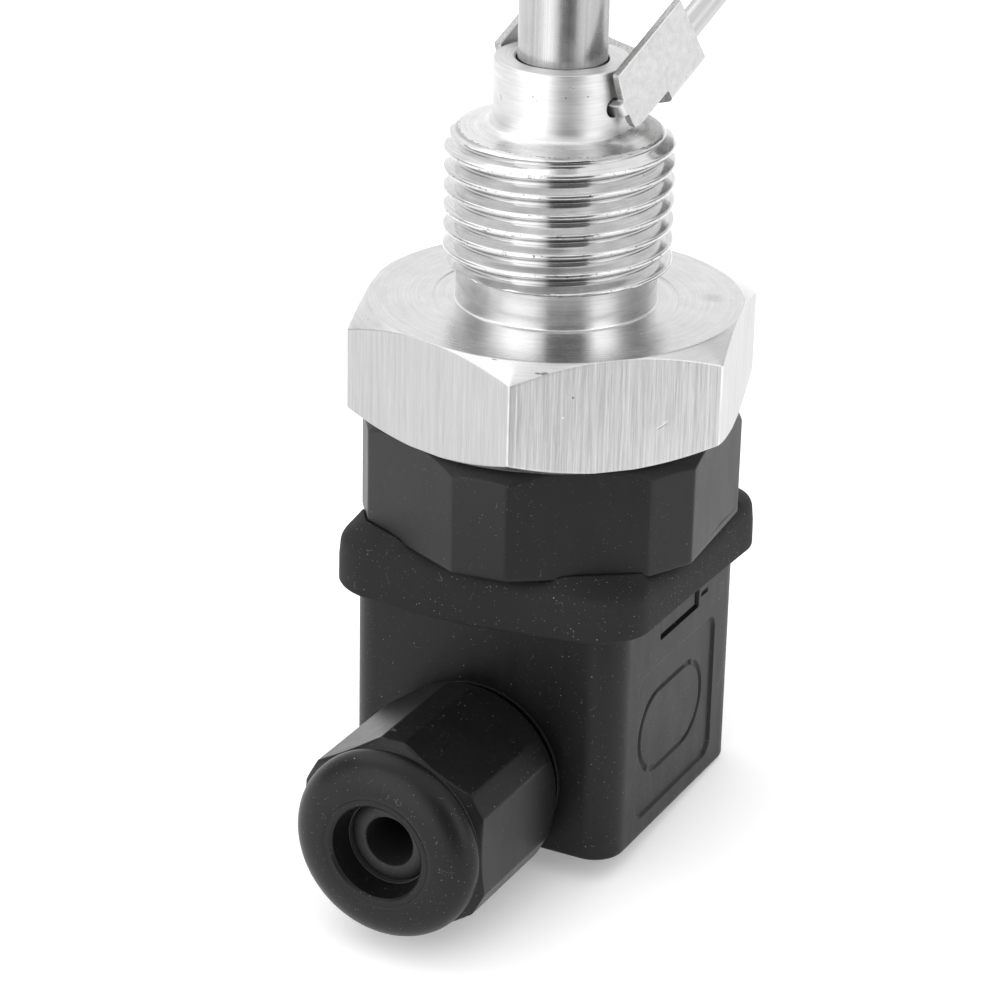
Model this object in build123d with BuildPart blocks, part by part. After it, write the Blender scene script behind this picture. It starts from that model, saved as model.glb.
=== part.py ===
from build123d import *
from math import asin, atan2, cos, degrees, radians, sin, sqrt
import os

os.makedirs("parts", exist_ok=True)

# Side-mounted float switch with a square valve-type plug.
# Frame: origin at the centre of the hexagon's sealing face, +Z along the stem,
# the cable gland points to -Y and the plug's panel face is +X. Millimetres.

# ---------------------------------------------------------------- dimensions
# turned stainless body
HEX_AF = 34.0
HEX_H = 10.45
HEX_FLAT_R = 17.05            # edge circle of the 30 degree chamfers
HEX_CORNER_DEG = -75.0
THREAD_R = 10.405             # crest of the G1/2 pipe thread
RELIEF_R = 9.12
RELIEF_TOP = 3.05
THREAD_FACE_R = 9.09
THREAD_TOP = 15.88
NECK_R = 6.10
NECK_TOP = 22.35
NECK_FILLET = 1.2
FACE_STEP_R = 11.2            # shallow turned step around the relief groove
FACE_STEP = 0.12
TUBE_BORE_R = 4.02
TUBE_SINK_R = 4.40
CHAMBER_R = 7.0
CHAMBER_TOP = 7.0
SOCKET_R = 13.1               # socket that takes the plug base
SOCKET_TOP = -4.0

# stem tube, reed contact and wires
TUBE_R = 4.0
TUBE_IN_R = 3.2
TUBE_END = 60.0
TIP_H = 2.0
REED_X = -0.8
REED_MID = 50.0
WIRE_X = 2.1
WIRE_R = 0.5
WIRE_TOP = 56.5
LEAD_TOP = 58.6

# pivot and arm
PIVOT_Z = 18.98
PIVOT_R = 0.90
PIVOT_DEG = -15.0             # direction of the hinge axis in plan
ARM_DEG = 33.1                # arm's rise above the horizontal at rest
SHEET = 0.8
EAR_OUT = 7.36
EAR_IN = EAR_OUT - SHEET
EAR_TOP = 3.3
EAR_LOW = -2.75
EAR_FAR = 10.65
WEB_NEAR = 5.3
WEB_LOW = -5.95
WEB_R = 15.3
WEB_CORNER_R = 1.2
LUG_HALF = 0.72
LUG_IN = 4.4
ROD_R = 1.25
ROD_H = WEB_LOW - ROD_R
ROD_NEAR = 6.3
ROD_FAR = 31.3

# float
FLOAT_R = 12.0
FLOAT_NEAR = 32.0
FLOAT_FAR = 66.0
FLOAT_SEAM = 49.0
FLOAT_CORNER = 5.0
FLOAT_WALL = 0.4
BOSS_R = 3.2
BOSS_NEAR = 28.5
SHANK_END = 37.4
SHANK_R = 2.0
MAGNET_R = 5.0
MAGNET_T = 4.0

# plug base, twelve-sided
BASE_TOP = -HEX_H
BASE_BOTTOM = -21.0
BASE_FACET = 16.27
BASE_CORNER = 17.31
BASE_FACET_DEG = -55.0
BASE_CORNER_DEG = -85.0
BASE_FLAT_R = 16.2
SPIGOT_R = 13.0
SPIGOT_TOP = -4.2
BASE_CAVITY_R = 11.0
BASE_FLOOR = -17.5
POST_R = 3.6
POST_END = -26.0
RING_R = 14.5
RING_SEC = 0.64
PIN_AT = 9.0
PIN_W = 6.3
PIN_T = 0.8
PIN_END = -33.0
EARTH_END = -34.0
TAG_TOP = -13.0

# square profile gasket
GASKET_HALF_TOP = 15.4
GASKET_HALF_LOW = 15.75
GASKET_CORNER = 4.5
GASKET_LOW = -27.2
GASKET_SHOULDER = -22.8
GASKET_LIP = -20.6
GASKET_HOLE = 11.2

# plug housing
BOX_HALF = 13.75
BOX_CORNER = 3.0
BOX_TOP = -23.0
BOX_BOTTOM = -48.8
BOX_WALL = 1.8
PANEL_Y = (-8.4, 8.2)
PANEL_Z = (-46.7, -32.1)
PANEL_DEPTH = 0.5
OVAL_Y = (-7.8, 6.1)
OVAL_Z = (-43.2, -34.7)
OVAL_GROOVE = 0.45
OVAL_DEPTH = 0.25
SLOT_Y = (-4.2, 4.1)
SLOT_Z = (-29.7, -25.5)
DASH_Y = (4.7, 6.1)
DASH_Z = -28.7

# cable gland
GLAND_Z = -41.8
BOSS_THREAD_R = 7.6
BOSS_END = 26.0
NUT_FACET = 8.94
NUT_CORNER = 9.61
NUT_TURN = 1.7
NUT_REAR = 13.9
NUT_GROOVE = 29.75
NUT_GROOVE_R = 8.28
NUT_FRONT = 32.9
NUT_HOLE_R = 4.42
SEAL_R = 6.55
SEAL_HOLE_R = 2.35
SEAL_REAR = 20.05
SEAL_FACE = 30.4
SEAL_SHOULDER = 29.5

# fixing screw
SCREW_R = 1.48
SCREW_HEAD_R = 2.75
SCREW_HEAD_LOW = -48.3
RECESS_R = 4.0
RECESS_TOP = -45.3
PILLAR_R = 5.6
PILLAR_TOP = -43.5


def polar(radius, angle):
    return (radius * cos(radians(angle)), radius * sin(radians(angle)))


def sided(sides):
    """Corner points of a polygon whose sides are (normal angle, distance)."""
    sides = sorted(sides)
    points = []
    for (a1, d1), (a2, d2) in zip(sides, sides[1:] + [(sides[0][0] + 360, sides[0][1])]):
        p, q = radians(a1), radians(a2)
        points.append(
            ((d1 * sin(q) - d2 * sin(p)) / sin(q - p), (d2 * cos(p) - d1 * cos(q)) / sin(q - p))
        )
    return points


hexagon = [polar(HEX_AF / 2 / cos(radians(30)), HEX_CORNER_DEG + 60 * k) for k in range(6)]
base_outline = sided(
    [(BASE_FACET_DEG + 60 * k, BASE_FACET) for k in range(6)]
    + [(BASE_CORNER_DEG + 60 * k, BASE_CORNER) for k in range(6)]
)
nut_outline = sided(
    [(60 + NUT_TURN + 60 * k, NUT_FACET) for k in range(6)]
    + [(90 + NUT_TURN + 60 * k, NUT_CORNER) for k in range(6)]
)
clear_outline = sided(
    [(BASE_FACET_DEG + 60 * k, BASE_FACET + 0.05) for k in range(6)]
    + [(BASE_CORNER_DEG + 60 * k, BASE_CORNER + 0.05) for k in range(6)]
)

# hinge axis n, arm direction a and the direction h square to both
HINGE = Vector(cos(radians(PIVOT_DEG)), sin(radians(PIVOT_DEG)), 0)
FLAT = Vector(-sin(radians(PIVOT_DEG)), cos(radians(PIVOT_DEG)), 0)
UP = Vector(0, 0, 1)
ARM = FLAT * cos(radians(ARM_DEG)) + UP * sin(radians(ARM_DEG))
PIVOT = Vector(0, 0, PIVOT_Z)
RISE = UP * cos(radians(ARM_DEG)) - FLAT * sin(radians(ARM_DEG))
# side view of the arm: x along the arm, y square to it
arm_side = Plane(origin=PIVOT, x_dir=ARM, z_dir=HINGE)
# section of the arm, seen from its far end: x along the hinge axis, y square to the arm
arm_far = Plane(origin=PIVOT + ARM * EAR_FAR, x_dir=HINGE, z_dir=ARM * -1)
# plan of one lug: x along the hinge axis, y along the arm
lug_plane = Plane(origin=PIVOT + RISE * -LUG_HALF, x_dir=HINGE, z_dir=RISE)
# half section through the float, x along the arm, y outwards from the rod's axis
float_side = Plane(origin=PIVOT + RISE * ROD_H, x_dir=ARM, z_dir=HINGE)
float_axis = Axis(PIVOT + RISE * ROD_H, ARM)
# half section through the gland: x outwards along the gland, y away from its axis
gland_side = Plane(origin=(0, 0, GLAND_Z), x_dir=(0, -1, 0), z_dir=(-1, 0, 0))
gland_axis = Axis((0, 0, GLAND_Z), (0, -1, 0))


# ------------------------------------------------- turned stainless hex body
with BuildPart() as hex_body:
    with BuildSketch(Plane.XY.offset(-HEX_H)):
        with BuildLine():
            Polyline(*hexagon, close=True)
        make_face()
    extrude(amount=HEX_H)
    # both ends chamfered at 30 degrees by one turned profile
    slope = (19.9 - HEX_FLAT_R) * 0.57735
    with BuildSketch(Plane.XZ):
        with BuildLine():
            Polyline(
                (0, -HEX_H),
                (HEX_FLAT_R, -HEX_H),
                (19.9, -HEX_H + slope),
                (19.9, -slope),
                (HEX_FLAT_R, 0),
                (0, 0),
                close=True,
            )
        make_face()
    revolve(axis=Axis.Z, mode=Mode.INTERSECT)
    # shallow step in the sealing face
    with BuildSketch(Plane.XY.offset(-FACE_STEP)):
        Circle(FACE_STEP_R)
    extrude(amount=FACE_STEP + 0.5, mode=Mode.SUBTRACT)
    # relief groove, thread blank, top face and neck
    with BuildSketch(Plane.XZ):
        with BuildLine():
            Polyline(
                (0, -1),
                (RELIEF_R, -1),
                (RELIEF_R, RELIEF_TOP),
                (THREAD_R, RELIEF_TOP + 0.7),
                (THREAD_R, THREAD_TOP - 0.93),
                (9.9, THREAD_TOP - 0.46),
                (THREAD_FACE_R, THREAD_TOP),
                (NECK_R + NECK_FILLET, THREAD_TOP),
            )
            RadiusArc(
                (NECK_R + NECK_FILLET, THREAD_TOP),
                (NECK_R, THREAD_TOP + NECK_FILLET),
                NECK_FILLET,
            )
            Polyline(
                (NECK_R, THREAD_TOP + NECK_FILLET),
                (NECK_R, NECK_TOP - 0.18),
                (NECK_R - 0.18, NECK_TOP),
                (0, NECK_TOP),
                (0, -1),
            )
        make_face()
    revolve(axis=Axis.Z)
    # socket, chamber and tube bore from below
    with BuildSketch(Plane.XZ):
        with BuildLine():
            Polyline(
                (0, -HEX_H - 1),
                (SOCKET_R + 0.4, -HEX_H - 1),
                (SOCKET_R + 0.4, -HEX_H),
                (SOCKET_R, -HEX_H + 0.4),
                (SOCKET_R, SOCKET_TOP),
                (CHAMBER_R, SOCKET_TOP),
                (CHAMBER_R, CHAMBER_TOP),
                (TUBE_BORE_R, CHAMBER_TOP),
                (TUBE_BORE_R, NECK_TOP - 0.38),
                (TUBE_SINK_R, NECK_TOP),
                (TUBE_SINK_R, NECK_TOP + 1),
                (0, NECK_TOP + 1),
                close=True,
            )
        make_face()
    revolve(axis=Axis.Z, mode=Mode.SUBTRACT)
    # pivot holes through both walls of the neck
    with BuildSketch(Plane(origin=PIVOT - HINGE * 8, x_dir=FLAT, z_dir=HINGE)):
        Circle(PIVOT_R)
    extrude(amount=16, mode=Mode.SUBTRACT)
hex_body.part.label = "hex_body"

# ------------------------------------------------------------------ stem tube
with BuildPart() as stem_tube:
    with BuildSketch(Plane.XY.offset(CHAMBER_TOP)):
        Circle(TUBE_R)
        Circle(TUBE_IN_R, mode=Mode.SUBTRACT)
    extrude(amount=TUBE_END - CHAMBER_TOP)
stem_tube.part.label = "stem_tube"

# welded end of the tube, domed outside
dome_r = (TUBE_R**2 + (TIP_H - 0.3) ** 2) / (2 * (TIP_H - 0.3))
dome_half = asin(TUBE_R / dome_r) / 2
with BuildPart() as stem_tip:
    with BuildSketch(Plane.XZ):
        with BuildLine():
            Polyline(
                (0, TUBE_END + TIP_H),
                (0, TUBE_END - 0.8),
                (TUBE_IN_R - 0.03, TUBE_END - 0.8),
                (TUBE_IN_R - 0.03, TUBE_END),
                (TUBE_R, TUBE_END),
                (TUBE_R, TUBE_END + 0.3),
            )
            ThreePointArc(
                (TUBE_R, TUBE_END + 0.3),
                (dome_r * sin(dome_half), TUBE_END + TIP_H - dome_r * (1 - cos(dome_half))),
                (0, TUBE_END + TIP_H),
            )
        make_face()
    revolve(axis=Axis.Z)
stem_tip.part.label = "stem_tip"

# ------------------------------------------------------- reed contact in tube
with BuildPart() as reed_glass:
    with BuildSketch(Plane.XY.offset(REED_MID - 7).shift_origin((REED_X, 0, REED_MID - 7))):
        Circle(1.1)
    extrude(amount=14)
    fillet(reed_glass.edges(), radius=0.45)
    with BuildSketch(Plane.XY.offset(REED_MID - 5.2).shift_origin((REED_X, 0, REED_MID - 5.2))):
        Circle(0.82)
    extrude(amount=10.4, mode=Mode.SUBTRACT)
    with BuildSketch(Plane.XY.offset(REED_MID - 8).shift_origin((REED_X, 0, REED_MID - 8))):
        Circle(0.27)
    extrude(amount=16, mode=Mode.SUBTRACT)
reed_glass.part.label = "reed_glass"

# two springy blades with their leads: the upper lead turns down to the return wire
with BuildPart() as reed_blades:
    with BuildSketch(Plane.XY.offset(REED_MID - 8.1).shift_origin((REED_X, 0, REED_MID - 8.1))):
        Circle(0.25)
    extrude(amount=3.0)
    with BuildSketch(Plane.XY.offset(REED_MID - 5.15).shift_origin((REED_X - 0.14, 0, REED_MID - 5.15))):
        Rectangle(0.2, 1.1)
    extrude(amount=5.95)
    with BuildLine(Plane.XZ):
        FilletPolyline(
            (REED_X, REED_MID + 5.1),
            (REED_X, LEAD_TOP),
            (WIRE_X, LEAD_TOP),
            (WIRE_X, WIRE_TOP),
            radius=0.6,
        )
    with BuildSketch(Plane.XY.offset(REED_MID + 5.1).shift_origin((REED_X, 0, REED_MID + 5.1))):
        Circle(0.25)
    sweep()
    with BuildSketch(Plane.XY.offset(REED_MID - 0.8).shift_origin((REED_X + 0.14, 0, REED_MID - 0.8))):
        Rectangle(0.2, 1.1)
    extrude(amount=5.95)
reed_blades.part.label = "reed_blades"

# shrink sleeve over the glass
with BuildPart() as reed_sleeve:
    with BuildSketch(Plane.XY.offset(REED_MID - 7.6).shift_origin((REED_X, 0, REED_MID - 7.6))):
        Circle(1.4)
        Circle(1.15, mode=Mode.SUBTRACT)
    extrude(amount=15.2)
reed_sleeve.part.label = "reed_sleeve"

# two insulated wires from the reed to the pins' tags
with BuildPart() as lead_wires:
    with BuildLine(Plane.XZ):
        FilletPolyline(
            (REED_X, REED_MID - 8.1),
            (REED_X, -3.0),
            (-PIN_AT, -8.5),
            (-PIN_AT, TAG_TOP),
            radius=1.6,
        )
    with BuildSketch(Plane.XY.offset(REED_MID - 8.1).shift_origin((REED_X, 0, REED_MID - 8.1))):
        Circle(WIRE_R)
    sweep()
    with BuildLine(Plane.XZ):
        FilletPolyline(
            (WIRE_X, WIRE_TOP),
            (WIRE_X, -3.0),
            (PIN_AT, -8.5),
            (PIN_AT, TAG_TOP),
            radius=1.6,
        )
    with BuildSketch(Plane.XY.offset(WIRE_TOP).shift_origin((WIRE_X, 0, WIRE_TOP))):
        Circle(WIRE_R)
    sweep()
lead_wires.part.label = "lead_wires"

# resin that seals the chamber below the tube
with BuildPart() as potting_plug:
    with BuildSketch(Plane.XY.offset(2.0)):
        Circle(CHAMBER_R - 0.02)
        with Locations((REED_X, 0), (WIRE_X, 0)):
            Circle(WIRE_R + 0.02, mode=Mode.SUBTRACT)
    extrude(amount=CHAMBER_TOP - 2.0)
potting_plug.part.label = "potting_plug"

# ------------------------------------------------------------------ plug base
with BuildPart() as connector_base:
    with BuildSketch(Plane.XY.offset(BASE_BOTTOM)):
        with BuildLine():
            Polyline(*base_outline, close=True)
        make_face()
    extrude(amount=BASE_TOP - BASE_BOTTOM)
    # upper edge chamfered at 45 degrees
    with BuildSketch(Plane.XZ):
        with BuildLine():
            Polyline(
                (0, BASE_BOTTOM),
                (18.2, BASE_BOTTOM),
                (18.2, BASE_TOP - (18.2 - BASE_FLAT_R)),
                (BASE_FLAT_R, BASE_TOP),
                (0, BASE_TOP),
                close=True,
            )
        make_face()
    revolve(axis=Axis.Z, mode=Mode.INTERSECT)
    with BuildSketch(Plane.XY.offset(BASE_TOP - 1)):
        Circle(SPIGOT_R)
    extrude(amount=SPIGOT_TOP - BASE_TOP + 1)
    with BuildSketch(Plane.XY.offset(BASE_FLOOR)):
        Circle(BASE_CAVITY_R)
    extrude(amount=20, mode=Mode.SUBTRACT)
    # sealing ring groove around the spigot
    with BuildSketch(Plane.XY.offset(BASE_TOP - 1.3)):
        Circle(RING_R + 0.9)
        Circle(RING_R - 0.9, mode=Mode.SUBTRACT)
    extrude(amount=2, mode=Mode.SUBTRACT)
    # central post, bored for the threaded insert
    with BuildSketch(Plane.XY.offset(POST_END)):
        Circle(POST_R)
    extrude(amount=BASE_FLOOR + 1.5 - POST_END)
    with BuildSketch(Plane.XY.offset(POST_END - 0.5)):
        Circle(2.42)
    extrude(amount=BASE_FLOOR + 0.7 - POST_END + 0.5, mode=Mode.SUBTRACT)
    # slots for the pins
    with BuildSketch(Plane.XY.offset(BASE_BOTTOM - 0.5)):
        with Locations((-PIN_AT, 0), (PIN_AT, 0)):
            Rectangle(PIN_T + 0.04, PIN_W + 0.04)
        with Locations((0, PIN_AT)):
            Rectangle(PIN_W + 0.04, PIN_T + 0.04)
    extrude(amount=BASE_FLOOR - BASE_BOTTOM + 1, mode=Mode.SUBTRACT)
connector_base.part.label = "connector_base"

with BuildPart() as base_o_ring:
    with BuildSketch(Plane.XZ):
        with Locations((RING_R, BASE_TOP - 0.65)):
            Circle(RING_SEC)
    revolve(axis=Axis.Z)
base_o_ring.part.label = "base_o_ring"

# flat blade pins with narrower tags above the base's floor
with BuildPart() as contact_pins:
    with BuildSketch(Plane.XY.offset(PIN_END)):
        with Locations((-PIN_AT, 0), (PIN_AT, 0)):
            Rectangle(PIN_T, PIN_W)
    extrude(amount=BASE_FLOOR - PIN_END)
    with BuildSketch(Plane.XY.offset(BASE_FLOOR)):
        with Locations((-PIN_AT, 0), (PIN_AT, 0)):
            Rectangle(PIN_T, 3.0)
    extrude(amount=TAG_TOP - BASE_FLOOR)
contact_pins.part.label = "contact_pins"

with BuildPart() as earth_pin:
    with BuildSketch(Plane.XY.offset(EARTH_END)):
        with Locations((0, PIN_AT)):
            Rectangle(PIN_W, PIN_T)
    extrude(amount=BASE_FLOOR - EARTH_END)
    with BuildSketch(Plane.XY.offset(BASE_FLOOR)):
        with Locations((0, PIN_AT)):
            Rectangle(3.0, PIN_T)
    extrude(amount=TAG_TOP - BASE_FLOOR)
earth_pin.part.label = "earth_pin"

with BuildPart() as threaded_insert:
    with BuildSketch(Plane.XY.offset(POST_END)):
        Circle(2.4)
        Circle(1.5, mode=Mode.SUBTRACT)
    extrude(amount=BASE_FLOOR + 0.6 - POST_END)
threaded_insert.part.label = "threaded_insert"

# ------------------------------------------------------------- square gasket
draft = degrees(atan2(GASKET_HALF_LOW - GASKET_HALF_TOP, GASKET_SHOULDER - GASKET_LOW))
with BuildPart() as profile_gasket:
    with BuildSketch(Plane.XY.offset(GASKET_LOW)):
        RectangleRounded(2 * GASKET_HALF_LOW, 2 * GASKET_HALF_LOW, GASKET_CORNER)
    extrude(amount=GASKET_SHOULDER - GASKET_LOW, taper=draft)
    with BuildSketch(Plane.XY.offset(GASKET_SHOULDER)):
        RectangleRounded(2 * GASKET_HALF_TOP, 2 * GASKET_HALF_TOP, GASKET_CORNER - 0.35)
    extrude(amount=GASKET_LIP - GASKET_SHOULDER, taper=39.8)
    # flat top under the base, so only the corners keep a lip outside its outline
    with BuildSketch(Plane.XY.offset(BASE_BOTTOM)):
        with BuildLine():
            Polyline(*clear_outline, close=True)
        make_face()
    extrude(amount=2, mode=Mode.SUBTRACT)
    # skirt around the housing and hole for the contacts
    with BuildSketch(Plane.XY.offset(GASKET_LOW - 1)):
        RectangleRounded(2 * BOX_HALF + 0.04, 2 * BOX_HALF + 0.04, BOX_CORNER)
    extrude(amount=BOX_TOP - GASKET_LOW + 1, mode=Mode.SUBTRACT)
    with BuildSketch(Plane.XY.offset(BOX_TOP - 0.5)):
        RectangleRounded(2 * GASKET_HOLE, 2 * GASKET_HOLE, 2.5)
    extrude(amount=5, mode=Mode.SUBTRACT)
profile_gasket.part.label = "profile_gasket"

# -------------------------------------------------------------- plug housing
inner = BOX_HALF - BOX_WALL
panel_w = PANEL_Y[1] - PANEL_Y[0]
panel_h = PANEL_Z[1] - PANEL_Z[0]
oval_w = OVAL_Y[1] - OVAL_Y[0]
oval_h = OVAL_Z[1] - OVAL_Z[0]
# the panel face seen from outside: x along +Y, y along +Z
panel_plane = Plane(origin=(BOX_HALF, 0, 0), x_dir=(0, 1, 0), z_dir=(1, 0, 0))
panel_floor = Plane(origin=(BOX_HALF - PANEL_DEPTH, 0, 0), x_dir=(0, 1, 0), z_dir=(1, 0, 0))
with BuildPart() as plug_housing:
    with BuildSketch(Plane.XY.offset(BOX_BOTTOM)):
        RectangleRounded(2 * BOX_HALF, 2 * BOX_HALF, BOX_CORNER)
    extrude(amount=BOX_TOP - BOX_BOTTOM)
    fillet(plug_housing.faces().sort_by(Axis.Z)[0].edges(), radius=0.7)
    with BuildSketch(Plane.XY.offset(BOX_BOTTOM + 2)):
        RectangleRounded(2 * inner, 2 * inner, 1.6)
    extrude(amount=30, mode=Mode.SUBTRACT)
    # pillar under the insert, with the screw's recess below it
    with BuildSketch(Plane.XY.offset(BOX_BOTTOM + 1)):
        Circle(PILLAR_R)
    extrude(amount=PILLAR_TOP - BOX_BOTTOM - 1)
    with BuildSketch(Plane.XY.offset(BOX_BOTTOM - 1)):
        Circle(RECESS_R)
    extrude(amount=RECESS_TOP - BOX_BOTTOM + 1, mode=Mode.SUBTRACT)
    with BuildSketch(Plane.XY.offset(RECESS_TOP - 1)):
        Circle(1.75)
    extrude(amount=6, mode=Mode.SUBTRACT)
    # threaded boss for the gland nut
    with BuildSketch(gland_side):
        with BuildLine():
            Polyline(
                (inner + 0.6, 0),
                (inner + 0.6, BOSS_THREAD_R),
                (BOSS_END - 0.5, BOSS_THREAD_R),
                (BOSS_END, BOSS_THREAD_R - 0.5),
                (BOSS_END, 0),
                close=True,
            )
        make_face()
    revolve(axis=gland_axis)
    with BuildSketch(gland_side):
        with BuildLine():
            Polyline(
                (inner - 1, 0),
                (inner - 1, 4.4),
                (SEAL_REAR - 0.05, 4.4),
                (SEAL_REAR - 0.05, SEAL_R + 0.05),
                (BOSS_END + 1, SEAL_R + 0.05),
                (BOSS_END + 1, 0),
                close=True,
            )
        make_face()
    revolve(axis=gland_axis, mode=Mode.SUBTRACT)
    # panel recess
    with BuildSketch(panel_plane):
        with Locations(((PANEL_Y[0] + PANEL_Y[1]) / 2, (PANEL_Z[0] + PANEL_Z[1]) / 2)):
            RectangleRounded(panel_w, panel_h, 1.5)
    extrude(amount=-PANEL_DEPTH, mode=Mode.SUBTRACT)
    # oval groove in the recess, broken by two short bridges
    with BuildSketch(panel_floor):
        with Locations(((OVAL_Y[0] + OVAL_Y[1]) / 2, (OVAL_Z[0] + OVAL_Z[1]) / 2)):
            RectangleRounded(oval_w, oval_h, oval_h / 2 - 0.01)
            RectangleRounded(
                oval_w - 2 * OVAL_GROOVE,
                oval_h - 2 * OVAL_GROOVE,
                oval_h / 2 - OVAL_GROOVE - 0.01,
                mode=Mode.SUBTRACT,
            )
        with Locations((OVAL_Y[1] - 2.3, OVAL_Z[1]), (OVAL_Y[0] + 2.3, OVAL_Z[0])):
            Rectangle(0.7, 2.4, mode=Mode.SUBTRACT)
    extrude(amount=-OVAL_DEPTH, mode=Mode.SUBTRACT)
    # slot that frees the insert, and the short mark beside it
    with BuildSketch(panel_plane):
        with Locations(((SLOT_Y[0] + SLOT_Y[1]) / 2, (SLOT_Z[0] + SLOT_Z[1]) / 2)):
            Rectangle(SLOT_Y[1] - SLOT_Y[0], SLOT_Z[1] - SLOT_Z[0])
    extrude(amount=-1.2, mode=Mode.SUBTRACT)
    with BuildSketch(panel_plane):
        with Locations(((DASH_Y[0] + DASH_Y[1]) / 2, DASH_Z)):
            Rectangle(DASH_Y[1] - DASH_Y[0], 0.35)
    extrude(amount=-0.3, mode=Mode.SUBTRACT)
plug_housing.part.label = "plug_housing"

# insert that carries the socket contacts; its -Y side is open for the cable's cores
with BuildPart() as contact_insert:
    with BuildSketch(Plane.XY.offset(-27.0)):
        RectangleRounded(2 * inner - 0.5, 2 * inner - 0.5, 1.6)
    extrude(amount=3.0)
    with BuildSketch(Plane.XY.offset(PILLAR_TOP)):
        with Locations((0, 3.6)):
            RectangleRounded(2 * inner - 0.5, 16.2, 1.6)
    extrude(amount=-27.0 - PILLAR_TOP)
    # pockets for the socket contacts
    with BuildSketch(Plane.XY.offset(-38.5)):
        with Locations((-PIN_AT, 0), (PIN_AT, 0)):
            Rectangle(2.6, 7.4)
        with Locations((0, PIN_AT)):
            Rectangle(7.4, 2.6)
    extrude(amount=20, mode=Mode.SUBTRACT)
    with BuildSketch(Plane.XY.offset(PILLAR_TOP - 0.5)):
        with Locations((-PIN_AT, 0), (PIN_AT, 0)):
            Rectangle(4.2, 7.4)
        with Locations((0, PIN_AT)):
            Rectangle(7.4, 4.2)
    extrude(amount=-38.4 - PILLAR_TOP + 0.5, mode=Mode.SUBTRACT)
    # well for the base's post and hole for the fixing screw
    with BuildSketch(Plane.XY.offset(-26.5)):
        Circle(POST_R + 0.4)
    extrude(amount=10, mode=Mode.SUBTRACT)
    with BuildSketch(Plane.XY.offset(PILLAR_TOP - 1)):
        Circle(1.8)
    extrude(amount=25, mode=Mode.SUBTRACT)
    # core entries on the cable's side
    with BuildSketch(Plane.XZ.offset(4.5)):
        with Locations((-PIN_AT, -40.8), (PIN_AT, -40.8)):
            Circle(1.3)
    extrude(amount=-2.0, mode=Mode.SUBTRACT)
contact_insert.part.label = "contact_insert"

# socket contacts: a sleeve around the blade above a screw clamp block
with BuildPart() as female_contacts:
    with BuildSketch(Plane.XY.offset(-38.5)):
        with Locations((-PIN_AT, 0), (PIN_AT, 0)):
            Rectangle(2.4, 7.2)
            Rectangle(PIN_T + 0.06, PIN_W + 0.1, mode=Mode.SUBTRACT)
    extrude(amount=12.5)
    with BuildSketch(Plane.XY.offset(-43.0)):
        with Locations((-PIN_AT, 0), (PIN_AT, 0)):
            Rectangle(4.0, 7.2)
            Circle(1.24, mode=Mode.SUBTRACT)
    extrude(amount=4.5)
    with BuildSketch(Plane.XZ.offset(3.7)):
        with Locations((-PIN_AT, -40.8), (PIN_AT, -40.8)):
            Circle(1.1)
    extrude(amount=-7.4, mode=Mode.SUBTRACT)
female_contacts.part.label = "female_contacts"

with BuildPart() as earth_contact:
    with BuildSketch(Plane.XY.offset(-38.5)):
        with Locations((0, PIN_AT)):
            Rectangle(7.2, 2.4)
            Rectangle(PIN_W + 0.1, PIN_T + 0.06, mode=Mode.SUBTRACT)
    extrude(amount=12.5)
    with BuildSketch(Plane.XY.offset(-43.0)):
        with Locations((0, PIN_AT)):
            Rectangle(7.2, 4.0)
            Circle(1.24, mode=Mode.SUBTRACT)
    extrude(amount=4.5)
    with BuildSketch(Plane.YZ.offset(-3.7)):
        with Locations((PIN_AT, -40.8)):
            Circle(1.1)
    extrude(amount=7.4, mode=Mode.SUBTRACT)
earth_contact.part.label = "earth_contact"

# three clamp screws with slotted heads, turned in from below
with BuildPart() as terminal_screws:
    with BuildSketch(Plane.XY.offset(-44.6)):
        with Locations((-PIN_AT, 0), (PIN_AT, 0), (0, PIN_AT)):
            Circle(1.9)
    extrude(amount=1.6)
    with BuildSketch(Plane.XY.offset(-43.0)):
        with Locations((-PIN_AT, 0), (PIN_AT, 0), (0, PIN_AT)):
            Circle(1.2)
    extrude(amount=2.6)
    with BuildSketch(Plane.XY.offset(-44.6)):
        with Locations((-PIN_AT, 0), (PIN_AT, 0), (0, PIN_AT)):
            Rectangle(4.2, 0.5)
    extrude(amount=0.7, mode=Mode.SUBTRACT)
terminal_screws.part.label = "terminal_screws"

# long central screw that holds the plug on the base
with BuildPart() as fixing_screw:
    with BuildSketch(Plane.XY.offset(SCREW_HEAD_LOW)):
        Circle(SCREW_HEAD_R)
    extrude(amount=2.2)
    chamfer(fixing_screw.faces().sort_by(Axis.Z)[0].edges(), length=0.3)
    with BuildSketch(Plane.XY.offset(SCREW_HEAD_LOW)):
        Circle(SCREW_R)
    extrude(amount=-19.0 - SCREW_HEAD_LOW)
    with BuildSketch(Plane.XY.offset(SCREW_HEAD_LOW)):
        Rectangle(6.0, 0.8)
    extrude(amount=1.1, mode=Mode.SUBTRACT)
fixing_screw.part.label = "fixing_screw"

with BuildPart() as screw_seal:
    with BuildSketch(Plane.XY.offset(SCREW_HEAD_LOW + 2.2)):
        Circle(SCREW_HEAD_R + 0.1)
        Circle(SCREW_R + 0.03, mode=Mode.SUBTRACT)
    extrude(amount=RECESS_TOP - SCREW_HEAD_LOW - 2.2)
screw_seal.part.label = "screw_seal"

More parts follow.
